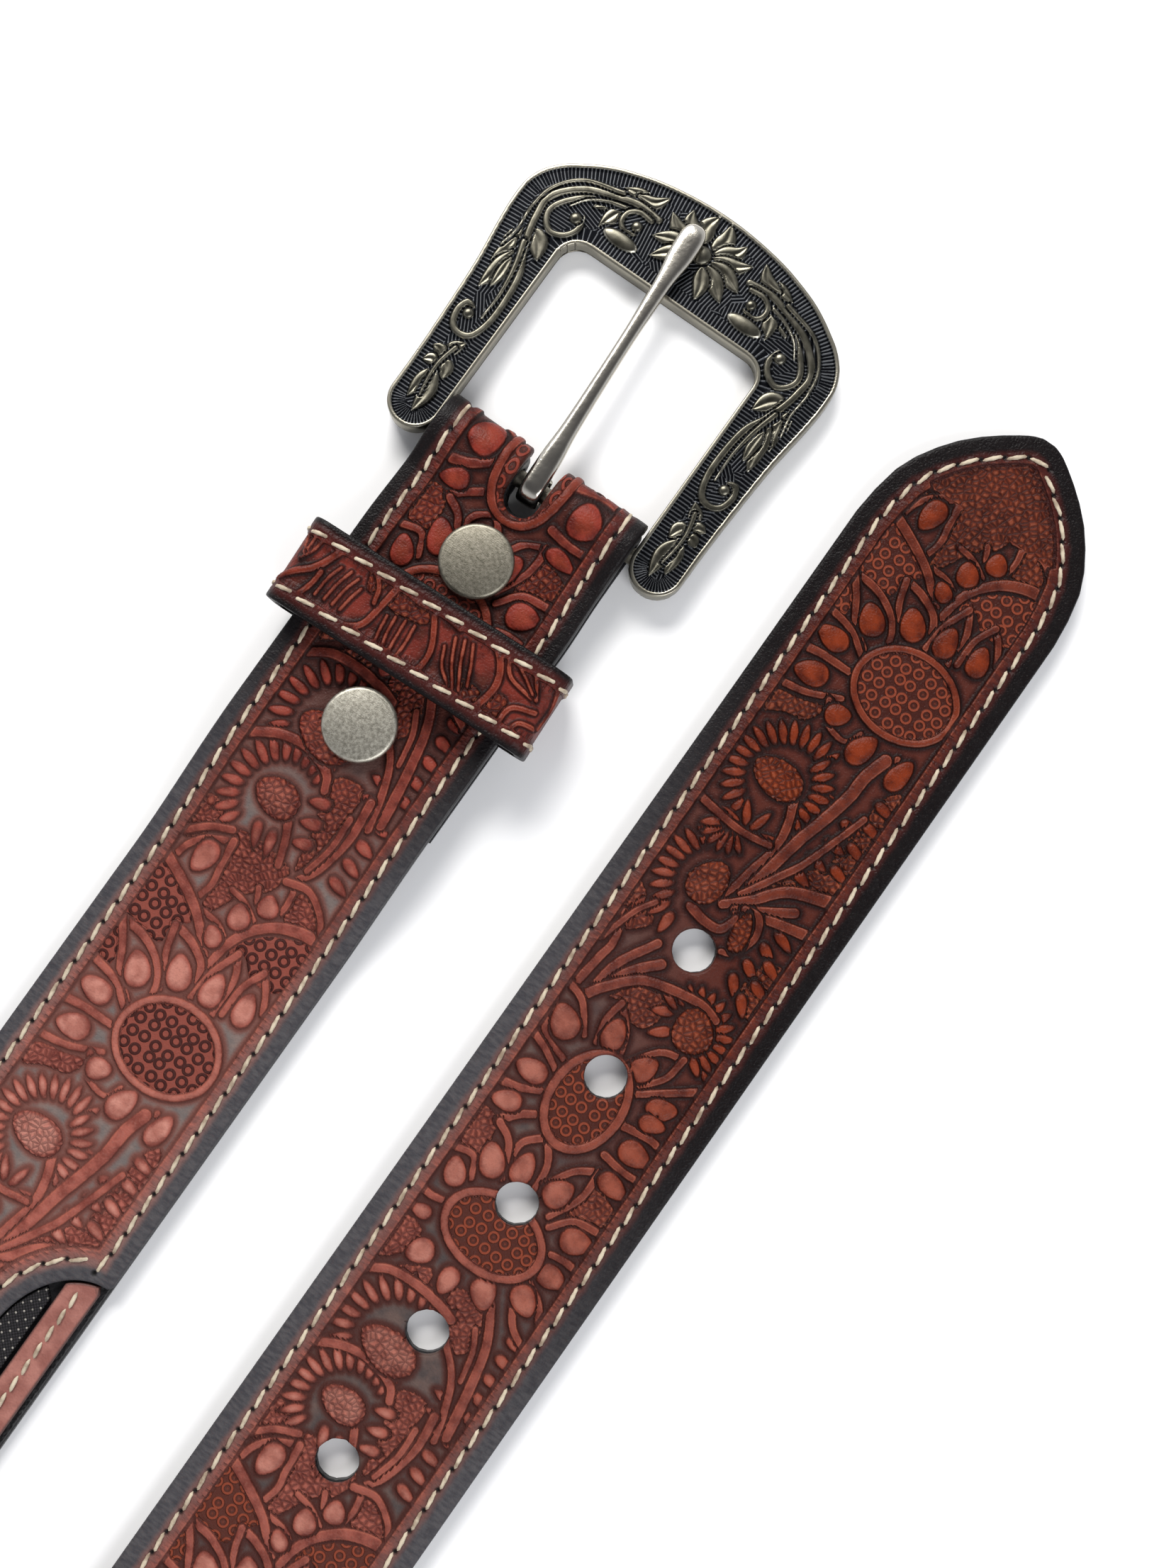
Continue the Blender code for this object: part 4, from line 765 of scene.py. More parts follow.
PATCHES = (
    # places round pebbled areas
    ((-14.4, 13.0), (-10.5, 13.5), (-10.2, 17.0), (-13.9, 20.6)),
    ((-6.6, 14.6), (3.6, 15.2), (3.4, 19.8), (0.0, 23.0), (-2.8, 28.0), (-4.8, 29.0), (-5.4, 20.0)),
    ((7.4, 17.6), (11.6, 18.6), (13.6, 21.8), (8.0, 23.0)),
    ((-14.2, 60.6), (-9.5, 59.4), (-5.5, 58.4), (-6.6, 61.8), (-10.6, 63.0), (-14.2, 64.6)),
    ((11.4, 65.0), (14.4, 65.0), (14.4, 83.0), (11.0, 84.4), (10.2, 78.0)),
    ((3.0, 89.2), (6.6, 84.6), (9.2, 81.0), (12.6, 83.4), (7.0, 86.4)),
    ((-14.2, 99.6), (-11.0, 101.4), (-8.2, 104.4), (-12.2, 108.0), (-14.2, 104.0)),
    ((-7.2, 118.4), (-4.8, 114.6), (-0.4, 113.2), (2.0, 115.4), (0.6, 119.4), (-2.8, 119.6),
        (-5.2, 117.8)),
    ((10.6, 99.4), (14.4, 98.6), (14.4, 108.0), (10.0, 105.8)),
    ((-14.3, 144.9), (-10.4, 145.6), (-9.5, 151.4), (-12.6, 152.6), (-14.3, 150.6)),
    ((8.6, 145.5), (14.2, 146.6), (14.2, 149.6), (9.4, 151.0), (7.6, 152.6)),
    ((-14.4, 167.0), (-10.2, 167.2), (-10.8, 172.0), (-14.4, 174.4)),
    ((-10.4, 174.4), (-8.2, 172.6), (-5.2, 171.4), (-4.4, 174.3)),
    ((-0.2, 171.6), (3.4, 170.8), (6.6, 173.6), (7.8, 178.4), (4.6, 181.0), (2.6, 178.6), (-0.4, 174.6)),
    ((1.6, 0.6), (6.9, -0.4), (7.0, 5.5), (6.0, 12.4), (4.6, 15.0), (3.4, 9.0)),
)
SEED_FIELDS = (
    ((-14.4, 26.6), (-9.4, 28.0), (-4.6, 31.0), (-7.0, 33.4), (-7.2, 36.6), (-14.4, 36.2)),
    ((-14.4, 38.4), (-12.4, 39.6), (-11.6, 43.6), (-14.4, 43.8)),
    ((14.4, 24.0), (8.6, 25.6), (5.2, 28.2), (3.6, 31.0), (3.6, 33.8), (6.0, 31.0), (9.4, 33.4),
        (14.4, 32.0)),
)

TOOTH_TURN = 172  # turns a tooth's narrow end outwards, at a slight slant
WIDER, END_WIDER = 0.45, 0.35  # how far the ribs press past the widths in their table
tooling = Tooling((-15.0, 0.0), (15.0, REPEAT), repeats=True)
for points in SEED_FIELDS:
    tooling.patch(points, 0.16, seeds=1.0)
for points in PATCHES:
    tooling.patch(points, pebble=1.0)
for x, t, turn, length in LOBES:
    tooling.bead(x, t, length + 1.4, 2.0, turn + TOOTH_TURN, 0.5, 0.35)
for x, t, radius, first, last, count, length in FRINGES:
    for turn in np.linspace(first, last, count):
        aside, ahead = radius * math.cos(math.radians(turn)), radius * math.sin(math.radians(turn))
        tooling.bead(x + aside, t + ahead, length + 1.5, 1.7, turn + TOOTH_TURN, 0.5, 0.2)
for width, end_width, points in RIBS:
    tooling.rib(points, width + WIDER, end_width + END_WIDER)
for x, t, length, width, turn in PODS:
    tooling.bead(x, t, length, width, turn, 0.5, 0.15, 0.8)
for x, t, length, width, turn in BEADS:
    tooling.bead(x, t, length + 0.3, width + 0.35, turn, 0.56)
tooling.flower_head(4.4, 49.2, 9.8, 8.1)
tooling.flower_head(-0.3, 134.5, 7.0, 9.4, 1.8)
tooling.flower_head(-0.3, 161.1, 9.6, 7.0, 1.7)
tooling.find_outlines()


GROUND_DEPTH = 0.42
PLAIN_HEIGHT = 0.22
SEAM_DEPTH = 0.14


def tooled_relief(x, t, inside, seam, plain_above=None):
    """Height over the leather's face at places, and what the material reads there.

    inside is how far a place lies from the piece's outer edge, and seam where the
    stitches run."""
    drawn = np.ones(x.shape) if plain_above is None else smooth(t - plain_above)
    border = seam + 0.9 + drawn
    panel = smooth((inside - border) / 0.5)
    fields = {name: tooling.sample(name, x, t) * drawn for name in tooling.fields}
    height = fields.pop("height") + PLAIN_HEIGHT * (1 - drawn)
    fields["pebble"] = (fields["pebble"] + 1 - drawn) * panel
    within = np.minimum(fields["edge"] + 1 - drawn, inside - border - 0.5)
    fields["edge"] = np.maximum(within, border + 0.2 - inside)
    fields["seeds"] *= panel
    band = np.exp(-(((inside - border + 0.15) / 0.45) ** 2))
    stitch_line = np.exp(-(((inside - seam) / 0.6) ** 2))
    level = panel * (height - GROUND_DEPTH) + 0.06 * band - SEAM_DEPTH * stitch_line
    return level, fields


def distance_to(points, s, q):
    """The distance of each place to the nearest of some points."""
    found = np.full(len(s), 1e9)
    for first in range(0, len(s), 8000):
        part = slice(first, first + 8000)
        gap = np.hypot(s[part, None] - points[:, 0], q[part, None] - points[:, 1])
        found[part] = gap.min(1)
    return found


def tooled_end(name, loops, border, step, x_of, t_of, seam, punched, plain_above, wear_of):
    """The mesh of one tooled end, with what its material reads."""

    def inside_of(s, q):
        places = np.stack([s, q], -1)
        near, within, _ = nearest_on([border], places)
        return np.where(within, np.linalg.norm(places - near, axis=1), 0.0)

    def relief(places, depth):
        s, q = places.T
        level = tooled_relief(x_of(q), t_of(s), inside_of(s, q), seam, plain_above)[0]
        return level - 0.5 * np.exp(-((distance_to(punched, s, q) / 0.45) ** 2))

    s, q, n, faces, _ = sheet_of(loops, step, TOOLED_TOP, LAYER_BOTTOM, 0.5, relief)
    inside = inside_of(s, q)
    _, fields = tooled_relief(x_of(q), t_of(s), inside, seam, plain_above)
    fields.update(level=n - TOOLED_TOP, inside=inside + BUCKLE_SEAM - seam, down=s, across=q)
    fields.update(punched=distance_to(punched, s, q), wear=wear_of(s, q))
    return new_object(name, lay(s, q, n), faces, "strap", "tooled_leather", tooled, **fields)


def along(line, pitch, shift=0.0):
    """Places every pitch along a line, and the line's direction there."""
    spans = np.diff(line, axis=0)
    lengths = np.linalg.norm(spans, axis=1)
    arc = np.concatenate([[0], np.cumsum(lengths)])
    at = shift + pitch * np.arange(int((arc[-1] - shift) / pitch) + 1)
    at = at[at < arc[-1]]
    k = np.clip(np.searchsorted(arc, at, "right") - 1, 0, len(spans) - 1)
    length = np.maximum(lengths[k], 1e-9)
    share = ((at - arc[k]) / length)[:, None]
    return line[k] + share * spans[k], spans[k] / length[:, None]


def inset_line(loop, distance):
    """A loop moved inwards by a distance, its crossed parts taken out."""
    loop = np.asarray(loop, float)
    ahead = np.roll(loop, -1, axis=0) - np.roll(loop, 1, axis=0)
    ahead /= np.maximum(np.linalg.norm(ahead, axis=1), 1e-9)[:, None]
    area = (loop[:, 0] * np.roll(loop[:, 1], -1) - np.roll(loop[:, 0], -1) * loop[:, 1]).sum()
    inward = np.stack([-ahead[:, 1], ahead[:, 0]], -1) * np.sign(area)
    moved = loop + inward * distance
    near, _, _ = nearest_on([loop], moved)
    clear = np.linalg.norm(moved - near, axis=1) > abs(distance) * 0.97
    return moved[clear]


tooled, start = material("tooled_leather", Specular_IOR_Level=0.14)
level = start.attribute("level")
edge = start.attribute("edge")
wear = start.attribute("wear")
warm = start.attribute("warm")
pebble = start.attribute("pebble").between(0.35, 0.65)
seeds = start.attribute("seeds").between(0.45, 0.55)
down = start.attribute("down")
across = start.attribute("across")
on_face = down.beside(across)
mottle = start.noise(0.45, 5.0)
clouds = start.noise(0.12, 3.0)
fine = start.noise(2.6, 4.0)
creases = start.noise(1.0, 3.0, (down * 1.5).beside(across * 0.5))
grain = start.cells(3.2, "SMOOTH_F1")
stones = start.cells(0.95, "DISTANCE_TO_EDGE", on_face)
ring = start.cells(0.43, "F1", on_face, randomness=0.22)
edge = edge + 0.14 * (fine - 0.5) + 0.12 * (mottle - 0.5)
inside = start.attribute("inside") + 0.9 * (mottle - 0.5)
raised = edge.between(-0.12, 0.3)
groove = 1 - (edge + 0.1).distance().between(0.05, 0.42)
crest_highlight = 1 - (edge - 0.3).distance().between(0.03, 0.16)
far = 1 - edge.between(-1.3, -0.3)
tone = (0.65 * mottle + 0.35 * clouds).between(0.36, 0.62)
cloudy = mottle.between(0.3, 0.7)
tip_end = down.between(400.0, 600.0)
bared = wear.between(0.0, 0.5)

# the figures: new leather, redder at the buckle, and leather that wear has made pale
buckle_rust = tone.mix(rgb(72, 17, 11), rgb(118, 37, 25))
buckle_band = tone.mix(rgb(64, 19, 14), rgb(102, 37, 28))
band_tone = tip_end.mix(buckle_band, tone.mix(rgb(60, 21, 14), rgb(94, 39, 25)))
rust = tip_end.mix(buckle_rust, tone.mix(rgb(64, 18, 6), rgb(106, 37, 11)))
rust = warm.mix(band_tone, rust)
dusty = tone.mix(rgb(132, 78, 68), rgb(172, 118, 105))
rose = (warm * edge.between(0.2, 1.0)).mix(tone.mix(rgb(104, 50, 42), rgb(142, 78, 67)), dusty)
face = wear.mix(rust, rose)

# the ground between them, and the lines that the tools cut round them
slate = cloudy.mix(rgb(92, 85, 83), rgb(114, 97, 91))
slate = tip_end.mix(slate, cloudy.mix(rgb(62, 54, 53), rgb(84, 68, 63)))
hidden = far.mix(rgb(38, 10, 7), rgb(70, 30, 22))
ground = bared.mix(hidden, far.mix(tip_end.mix(rgb(98, 60, 53), rgb(60, 30, 25)), slate))
ground = (start.attribute("filled") * clouds.between(0.42, 0.56)).mix(ground, band_tone)
stained = raised.mix(ground, face)
stained = ((0.8 - 0.5 * wear) * groove).mix(stained, wear.mix(rgb(18, 5, 4), rgb(62, 28, 24)))
# the highest tops lighter: rubbing wear, and a painted highlight on the raised figures
lightened = (level + 0.3 * (fine - 0.5)).between(-0.02, 0.16) * raised
stained = (0.35 * lightened).mix(stained, wear.mix(rgb(126, 48, 20), rgb(172, 112, 98)))
# painted highlight: a thin light line along each figure's bevel, just inside its outline
stained = (0.45 * crest_highlight * (1 - 0.8 * warm) * tone).mix(stained, rgb(150, 84, 64))

# pebbled areas, with a painted highlight on each pebble's top
gaps = pebble * (1 - stones.between(0.03, 0.17))
stained = (gaps * 0.65).mix(stained, wear.mix(rgb(30, 9, 6), rgb(78, 34, 30)))
pebble_highlights = pebble * stones.between(0.16, 0.36)
stained = (pebble_highlights * 0.4).mix(stained, wear.mix(rgb(136, 70, 44), rgb(160, 92, 80)))

# seed rings, with a painted glint in each ring's hollow
ring_line = 1 - (ring - 0.34).distance().between(0.06, 0.14)
hollow_glint = (1 - ring.between(0.2, 0.3)) * (1 - ring.between(0.04, 0.12))
ring_tone = tip_end.mix(rgb(112, 46, 34), rgb(114, 52, 34))
rings = ring_line.mix(wear.mix(rgb(54, 21, 15), rgb(74, 36, 28)), ring_tone)
rings = (0.35 * hollow_glint).mix(rings, ring_tone)
worn_rings = ring_line.mix(rgb(116, 58, 48), rgb(54, 22, 19))
rings = (wear.between(0.5, 0.64) * (1 - tip_end)).mix(rings, worn_rings)
stained = seeds.mix(stained, rings)

# the rope stamped along the stitches, the creased hem and the black dyed margin
rope = inside.between(4.5, 4.8) * (1 - inside.between(5.3, 5.6))
rope = rope * start.noise(0.06, 1.0).between(0.45, 0.55) * (down * 5.0).wave().between(0.2, 0.9)
stained = (0.55 * rope).mix(stained, rgb(40, 14, 10))
hem = inside.between(2.4, 3.2) * (1 - inside.between(5.0, 5.8))
creased = 0.75 * hem * creases.between(0.45, 0.62)
stained = creased.mix(stained, wear.mix(rgb(44, 14, 10), rgb(92, 56, 52)))
dyed = bared.mix(rgb(10, 6, 7), creases.between(0.3, 0.7).mix(rgb(70, 68, 70), rgb(52, 51, 55)))
burgundy = inside.between(1.8, 3.2).mix(dyed, wear.mix(rgb(56, 19, 16), rgb(112, 82, 77)))
stained = inside.between(3.0, 6.0).mix(burgundy, stained)
freckles = 0.22 * fine.between(0.5, 0.75)
stained = freckles.mix(stained, wear.mix(rgb(30, 9, 6), rgb(84, 62, 58)))
# painted shade: near black round each stitch hole, which the mesh has only as a shallow dip
stained = start.attribute("punched").between(0.2, 0.75).mix(rgb(6, 4, 4), stained)

carved = 1.1 * raised + 1.8 * pebble * stones.between(0.0, 0.45) + 1.4 * seeds * ring_line
surface = carved - 0.6 * rope + 0.25 * grain + 0.5 * fine
surface = surface + (0.25 + 1.3 * hem) * creases + 0.5 * mottle
feed(
    tooled,
    Base_Color=stained,
    Roughness=0.3 + 0.2 * mottle + 0.15 * groove + 0.2 * wear,
    Normal=surface.bump(0.22),
)

SCALLOP = 16.5
LOBE_LENGTH = 27.0
LOBE_HALF = 7.4
LOBE_OUTLINE = (
    # share of the lobe's length, share of its half width
    (0.0, 1.0), (0.25, 1.03), (0.5, 1.12), (0.68, 1.08), (0.82, 0.82), (0.92, 0.5), (0.98, 0.2),
    (1.0, 0.0),
)
BUCKLE_SHOULDER = 154.5 - FOLD_OUTER
TIP_SHOULDER = BELT_END - 262.0
TIP_SEAM = 3.9
BUCKLE_SEAM = 3.4
STITCH = 4.0


def scallop(sides):
    """How far past the shoulder and from the middle a scallop's places lie, outside in."""
    turn = np.linspace(0, math.pi / 2, sides)
    return SCALLOP * (1 - np.cos(turn)), LOBE_HALF + (HALF - LOBE_HALF) * (1 - np.sin(turn))


def shoulder(at, sign):
    """The right half of a tooled end's rounded shoulders and lobe, from its side in."""
    past, half = scallop(30)
    share = np.linspace(0.02, 1, 60)
    past = np.concatenate([past, SCALLOP + LOBE_LENGTH * share])
    half = np.concatenate([half, LOBE_HALF * np.interp(share, *zip(*LOBE_OUTLINE))])
    return np.stack([at + sign * past, half], -1)


def closed_loop(right):
    """A loop from its right half and the half's mirror image."""
    return np.concatenate([right, right[::-1] * (1, -1)])


def right_side(start, end):
    """The right half of the strap's outline, from start to end."""
    outline = strap_outline(start, end)
    return outline[len(outline) // 2 :][::-1]


tip_side = right_side(TIP_SHOULDER + 1, BELT_END)
tip_loop = closed_loop(np.concatenate([shoulder(TIP_SHOULDER, -1)[::-1], tip_side]))
tip_seam = inset_line(tip_loop, TIP_SEAM)
tip_stitches, tip_headings = along(np.concatenate([tip_seam, tip_seam[:1]]), STITCH)
tip = tooled_end(
    "tooled_tip_end",
    [tip_loop, *holes],
    tip_loop,
    0.335,
    lambda q: -q,
    lambda s: BELT_END - s,
    TIP_SEAM,
    tip_stitches + tip_headings * STITCH / 2,
    17.0,
    lambda s, q: 0.75 * smooth((BELT_END - s - 70.0 + 2.0 * q) / 150.0),
)
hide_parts("tooled_overlay_tip_end")

# The stitches. Thick cream polyester thread, two plies twisted and waxed, in a lockstitch
# of 4 mm that sinks into a groove, with a hole at each end of a stitch, dark with painted shade.
cream, start = material("cream_thread", Roughness=0.6, Specular_IOR_Level=0.35)
THREAD = 0.68
STITCH_LENGTH = 3.5
soil = start.noise(0.5, 3.0)
feed(
    cream,
    Base_Color=soil.between(0.35, 0.75).mix(rgb(188, 175, 153), rgb(128, 110, 92)),
    Normal=start.noise(6.0, 2.0).bump(0.05),
)


def stitches(name, to_world, places, headings, length, width, rise, sides=10, rings=9):
    """A row of short twisted threads that dip at both ends."""
    u, turn = np.meshgrid(np.linspace(-1, 1, rings), round_turn(sides), indexing="ij")
    u, turn = u.ravel(), turn.ravel()
    body = np.sqrt(np.clip(1 - np.abs(u) ** 5, 0.03, 1)) * (1 + 0.16 * np.cos(2 * turn + 7 * u))
    ahead = u * length / 2
    aside = np.cos(turn) * body * width / 2
    above = np.sin(turn) * body * width * 0.42 - 0.55 * width * np.abs(u) ** 4
    cosine, sine = math.cos(math.radians(8)), math.sin(math.radians(8))
    ahead, aside = ahead * cosine - aside * sine, ahead * sine + aside * cosine
    beside = np.stack([-headings[:, 1], headings[:, 0]], -1)
    x = places[:, :1] + headings[:, :1] * ahead + beside[:, :1] * aside
    y = places[:, 1:] + headings[:, 1:] * ahead + beside[:, 1:] * aside
    z = np.broadcast_to(above + rise, x.shape)
    first = np.arange(len(places)) * rings * sides
    faces = (split(*cells_of(rings, sides)) + first[:, None, None]).reshape(-1, 3)[:, ::-1]
    points = to_world(x.ravel(), y.ravel(), z.ravel())
    new_object(name, points, faces, "strap", "cream_thread", cream)


stitches("tip_end_stitches", lay, tip_stitches, tip_headings, STITCH_LENGTH, THREAD, TOOLED_TOP)

# The tooled leather of the buckle end. The same pressed leather, cut from the same
# design, follows the strap round the bar and has a slot for the tongue.
fold_front = -FOLD_ARC * 85 / 180


def buckle_outline(start):
    """The tooled leather's outline from start to its shoulder and lobe."""
    side = right_side(start, BUCKLE_SHOULDER)[:-1]
    return closed_loop(np.concatenate([side, shoulder(BUCKLE_SHOULDER, 1)]))


buckle_loop = buckle_outline(fold_front)
buckle_border = buckle_outline(-60.0)
buckle_seam = inset_line(buckle_border, BUCKLE_SEAM)
buckle_stitches, buckle_headings = along(np.roll(buckle_seam, 4, axis=0), STITCH, 1.0)
shown = buckle_stitches[:, 0] > fold_front + 2.0
buckle_stitches, buckle_headings = buckle_stitches[shown], buckle_headings[shown]


def buckle_end_t(s):
    """Where the design lies along the buckle end, a little drawn out towards the fold."""
    below = s + FOLD_OUTER
    return below - 68.0 + 8.0 * np.maximum(0, 117.0 - below) / 103.5


buckle_overlay = tooled_end(
    "tooled_buckle_end",
    [buckle_loop, slot_loop(fold_front - 20.0, slot_front), *necks],
    buckle_border,
    0.3,
    lambda q: q,
    buckle_end_t,
    BUCKLE_SEAM,
    buckle_stitches + buckle_headings * STITCH / 2,
    None,
    lambda s, q: 0.05 + 0.95 * smooth((s - 30.0) / 95.0),
)
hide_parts("tooled_overlay_buckle_end")
stitches(
    "buckle_end_stitches", lay, buckle_stitches, buckle_headings, STITCH_LENGTH, THREAD, TOOLED_TOP
)

# The edge strips. Rose brown leather 1.3 mm thick along both sides of the middle of the
# belt, each with one row of stitches and a black margin of the strap outside it.
rose, start = material("rose_leather", Specular_IOR_Level=0.3)
mottle = start.noise(0.25, 4.0)
grain = start.cells(2.6, "SMOOTH_F1")
face = mottle.between(0.35, 0.7).mix(rgb(122, 74, 66), rgb(148, 98, 88))
face = start.attribute("inside").between(0.0, 0.5).mix(rgb(70, 44, 40), face)
feed(
    rose,
    Base_Color=face,
    Roughness=0.45 + 0.2 * mottle,
    Normal=(grain * 0.7 + start.noise(1.5, 3.0)).bump(0.12),
)
STRIP_INNER = 13.2
STRIP_OUTER = 19.0
STRIP_SEAM = 15.9
STRIP_TOP = 3.6
LAYER_GAP = 0.3


def strip_end(at, sign):
    """The strip's end along a shoulder's scallop, a little clear of it."""
    past, half = scallop(200)
    line = np.stack([at + sign * (past + LAYER_GAP), half + LAYER_GAP], -1)
    return line[(line[:, 1] >= STRIP_INNER) & (line[:, 1] <= STRIP_OUTER)]


for side, hand in ((-1, "left"), (1, "right")):
    near_end, far_end = strip_end(BUCKLE_SHOULDER, 1), strip_end(TIP_SHOULDER, -1)
    loop = np.concatenate([near_end, far_end[::-1]]) * (1, side)
    s, q, n, faces, inside = sheet_of([loop], 0.7, STRIP_TOP, LAYER_BOTTOM, 0.25)
    name = "edge_strip_" + hand + "_leather"
    strip = new_object(name, lay(s, q, n), faces, "strap", "rose_leather", rose, inside=inside)
    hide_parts("edge_strip_" + hand)
    ends = (near_end[:, 0].max() + 1.5, far_end[:, 0].min() - 1.5)
    places, headings = along(np.array([(end, side * STRIP_SEAM) for end in ends]), 3.3)
    stitches("strip_stitches_" + hand, lay, places, headings, 3.1, 0.7, STRIP_TOP + 0.26, 8, 6)

# The inlay. Black woven mesh with pale flecks where its threads cross, let in between
# the strips, a little lower than they are, and cut round the lobes of the tooled ends.
woven, start = material("mesh_weave", Specular_IOR_Level=0.3)
across = start.attribute("across")
down = start.attribute("down")
FLECK_WAVE = 3.2
flecks = ((across * FLECK_WAVE).wave() * (down * FLECK_WAVE).wave()).between(0.72, 0.9)
mesh = (across * (3 * FLECK_WAVE)).wave() * (down * (3 * FLECK_WAVE)).wave()
tired = start.noise(0.3, 3.0)
threads = mesh.between(-0.5, 0.8).mix(rgb(10, 9, 11), rgb(42, 38, 42))
feed(
    woven,
    Base_Color=(flecks * tired.between(0.2, 0.6)).mix(threads, rgb(168, 162, 154)),
    Roughness=0.6 + 0.1 * tired,
    Normal=(mesh + 2.0 * flecks).bump(0.2),
)
INLAY_TOP = 3.3
inlay_half = STRIP_INNER - 0.15


def inlay_end(at, sign):
    """The right half of the inlay's end round a lobe, from its side in."""
    lobe = shoulder(at, sign)
    ahead = np.gradient(lobe, axis=0)
    ahead /= np.linalg.norm(ahead, axis=1)[:, None]
    aside = np.stack([sign * -ahead[:, 1], sign * ahead[:, 0]], -1)
    line = lobe + LAYER_GAP * aside
    line = line[(line[:, 1] < inlay_half) & (line[:, 1] > 0)]
    return np.concatenate([line, [(line[-1, 0] + 0.1 * sign, 0.001)]])


right = np.concatenate([inlay_end(BUCKLE_SHOULDER, 1)[::-1], inlay_end(TIP_SHOULDER, -1)])
s, q, n, faces, _ = sheet_of([closed_loop(right)], 1.1, INLAY_TOP, LAYER_BOTTOM, 0.25)
inlay = new_object("woven_inlay", lay(s, q, n), faces, "strap", "mesh_weave", woven, across=q, down=s)
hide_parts("mesh_inlay")

# The keeper. A loop of the same tooled leather, black at its edges and stitched along
# both, that slides over the strap and holds the belt's end.
KEEPER_PLACE = (BAR[0], 172.69)
KEEPER_HALF = 25.0
KEEPER_WIDTH = 15.5
KEEPER_LOW = 2.3
KEEPER_TOP = 14.3
KEEPER_SKEW = math.radians(2.5)
KEEPER_SEAM = 2.45
KEEPER_EDGE = 0.4
KEEPER_CORNER = 3.2
KEEPER_THICK = 1.8
KEEPER_BELOW = 1.4  # how thick it is under the strap

keeper_chart = Tooling((-27.0, -8.5), (27.0, 8.5))
for points in (
    ((-12.2, 5.6), (-8.4, 5.6), (-9.4, 2.2), (-11.2, 1.8)),
    ((-6.6, 1.2), (-0.4, 1.8), (0.2, 4.0), (-6.2, 4.4)),
    ((9.6, -2.0), (13.6, -2.4), (13.0, -5.4), (10.4, -5.2)),
    ((15.6, -1.0), (18.2, -1.4), (18.0, -5.4), (15.0, -5.2)),
):
    keeper_chart.patch(points, pebble=1.0)
for width, points in (
    # width, places round the keeper from its middle and along the belt
    (1.5, ((-25.6, -4.4), (-22.4, -1.6), (-19.8, 0.9), (-17.6, 5.6))),
    (1.2, ((-20.4, -5.4), (-19.2, -2.2), (-18.9, 0.2))),
    (0.8, ((-23.8, 0.6), (-23.7, 2.6), (-24.5, 4.6))),
    (0.8, ((-23.5, 0.5), (-22.9, 3.0), (-22.9, 5.2))),
    (0.8, ((-23.2, 0.4), (-21.9, 2.4), (-21.3, 5.0))),
    (0.85, ((-17.8, -3.4), (-17.4, 0.0), (-16.5, 2.6))),
    (0.85, ((-16.1, -3.3), (-15.6, 0.0), (-14.7, 2.9))),
    (0.85, ((-14.5, -3.3), (-14.0, 0.0), (-13.1, 2.5))),
    (0.85, ((-13.0, -3.4), (-12.5, -0.6), (-11.9, 1.4))),
    (1.4, ((-14.6, -6.6), (-10.8, -5.0), (-8.6, -3.2), (-7.7, 0.6), (-7.0, 4.6))),
    (1.1, ((-11.4, 5.2), (-9.6, 3.2), (-8.9, 0.6))),
    (0.85, ((-5.4, -4.9), (-5.8, -2.4), (-6.0, 0.0))),
    (0.85, ((-4.0, -4.9), (-4.5, -2.4), (-4.7, 0.6))),
    (0.85, ((-2.7, -4.8), (-2.9, -2.2), (-3.0, 0.9))),
    (0.85, ((-1.2, -4.6), (-1.1, -2.0), (-1.3, 1.0))),
    (1.3, ((-6.2, 5.4), (-2.6, 4.6), (1.0, 5.2), (5.2, 4.6))),
    (1.3, ((0.6, 4.0), (2.6, 0.2), (3.2, -2.6), (2.6, -6.0))),
    (0.85, ((4.5, 0.9), (6.0, -2.2), (8.7, -4.4))),
    (0.85, ((5.3, 3.0), (6.9, -0.6), (9.4, -4.4))),
    (0.85, ((6.8, 3.5), (8.3, -0.2), (10.3, -4.0))),
    (0.85, ((8.3, 3.6), (9.8, 0.6), (11.2, -2.8))),
    (1.5, ((9.6, 6.6), (13.2, 4.0), (15.0, -0.2), (13.8, -5.6))),
    (1.0, ((14.2, 5.6), (16.3, 2.4), (21.6, 1.2))),
    (1.0, ((14.2, 5.8), (18.8, 5.6), (21.8, 1.4))),
    (0.8, ((15.2, 5.2), (18.0, 3.8), (20.8, 1.9))),
    (1.2, ((18.4, -5.6), (19.0, -1.8), (22.8, -0.4))),
    (1.1, ((20.4, -5.4), (21.4, -3.2), (24.6, -2.6))),
    (1.3, ((24.0, 5.4), (25.4, 1.6), (25.2, -2.2))),
):
    keeper_chart.rib(points, width, None, 0.5)
keeper_chart.find_outlines()


def keeper_path(half, low, top, corner):
    """The loop's section across the strap, from under its middle round the right side."""
    turn = np.linspace(0, math.pi / 2, 12)
    quarter = np.stack([np.sin(turn), -np.cos(turn)], -1) * corner
    lower = quarter + (half - corner, low + corner)
    upper = quarter[::-1] * (1, -1) + (half - corner, top - corner)
    straight = np.linspace(0, 1, 70)[1:-1, None]
    floor_line = np.stack([np.linspace(0, half - corner, 70)[:-1], np.full(69, low)], -1)
    roof = np.stack([np.linspace(half - corner, 0, 70)[1:], np.full(69, top)], -1)
    wall = lower[-1] + (upper[0] - lower[-1]) * straight[::3]
    right = np.concatenate([floor_line, lower, wall, upper, roof])
    return np.concatenate([right, (right[::-1] * (-1, 1))[1:-1]])


def keeper_to_world(x, w, z):
    """World places on the keeper: x across the belt, w along it and z up."""
    cosine, sine = math.cos(KEEPER_SKEW), math.sin(KEEPER_SKEW)
    aside, ahead = x * cosine - w * sine, x * sine + w * cosine
    return MM * np.stack([KEEPER_PLACE[0] + aside, KEEPER_PLACE[1] + ahead, z], -1)


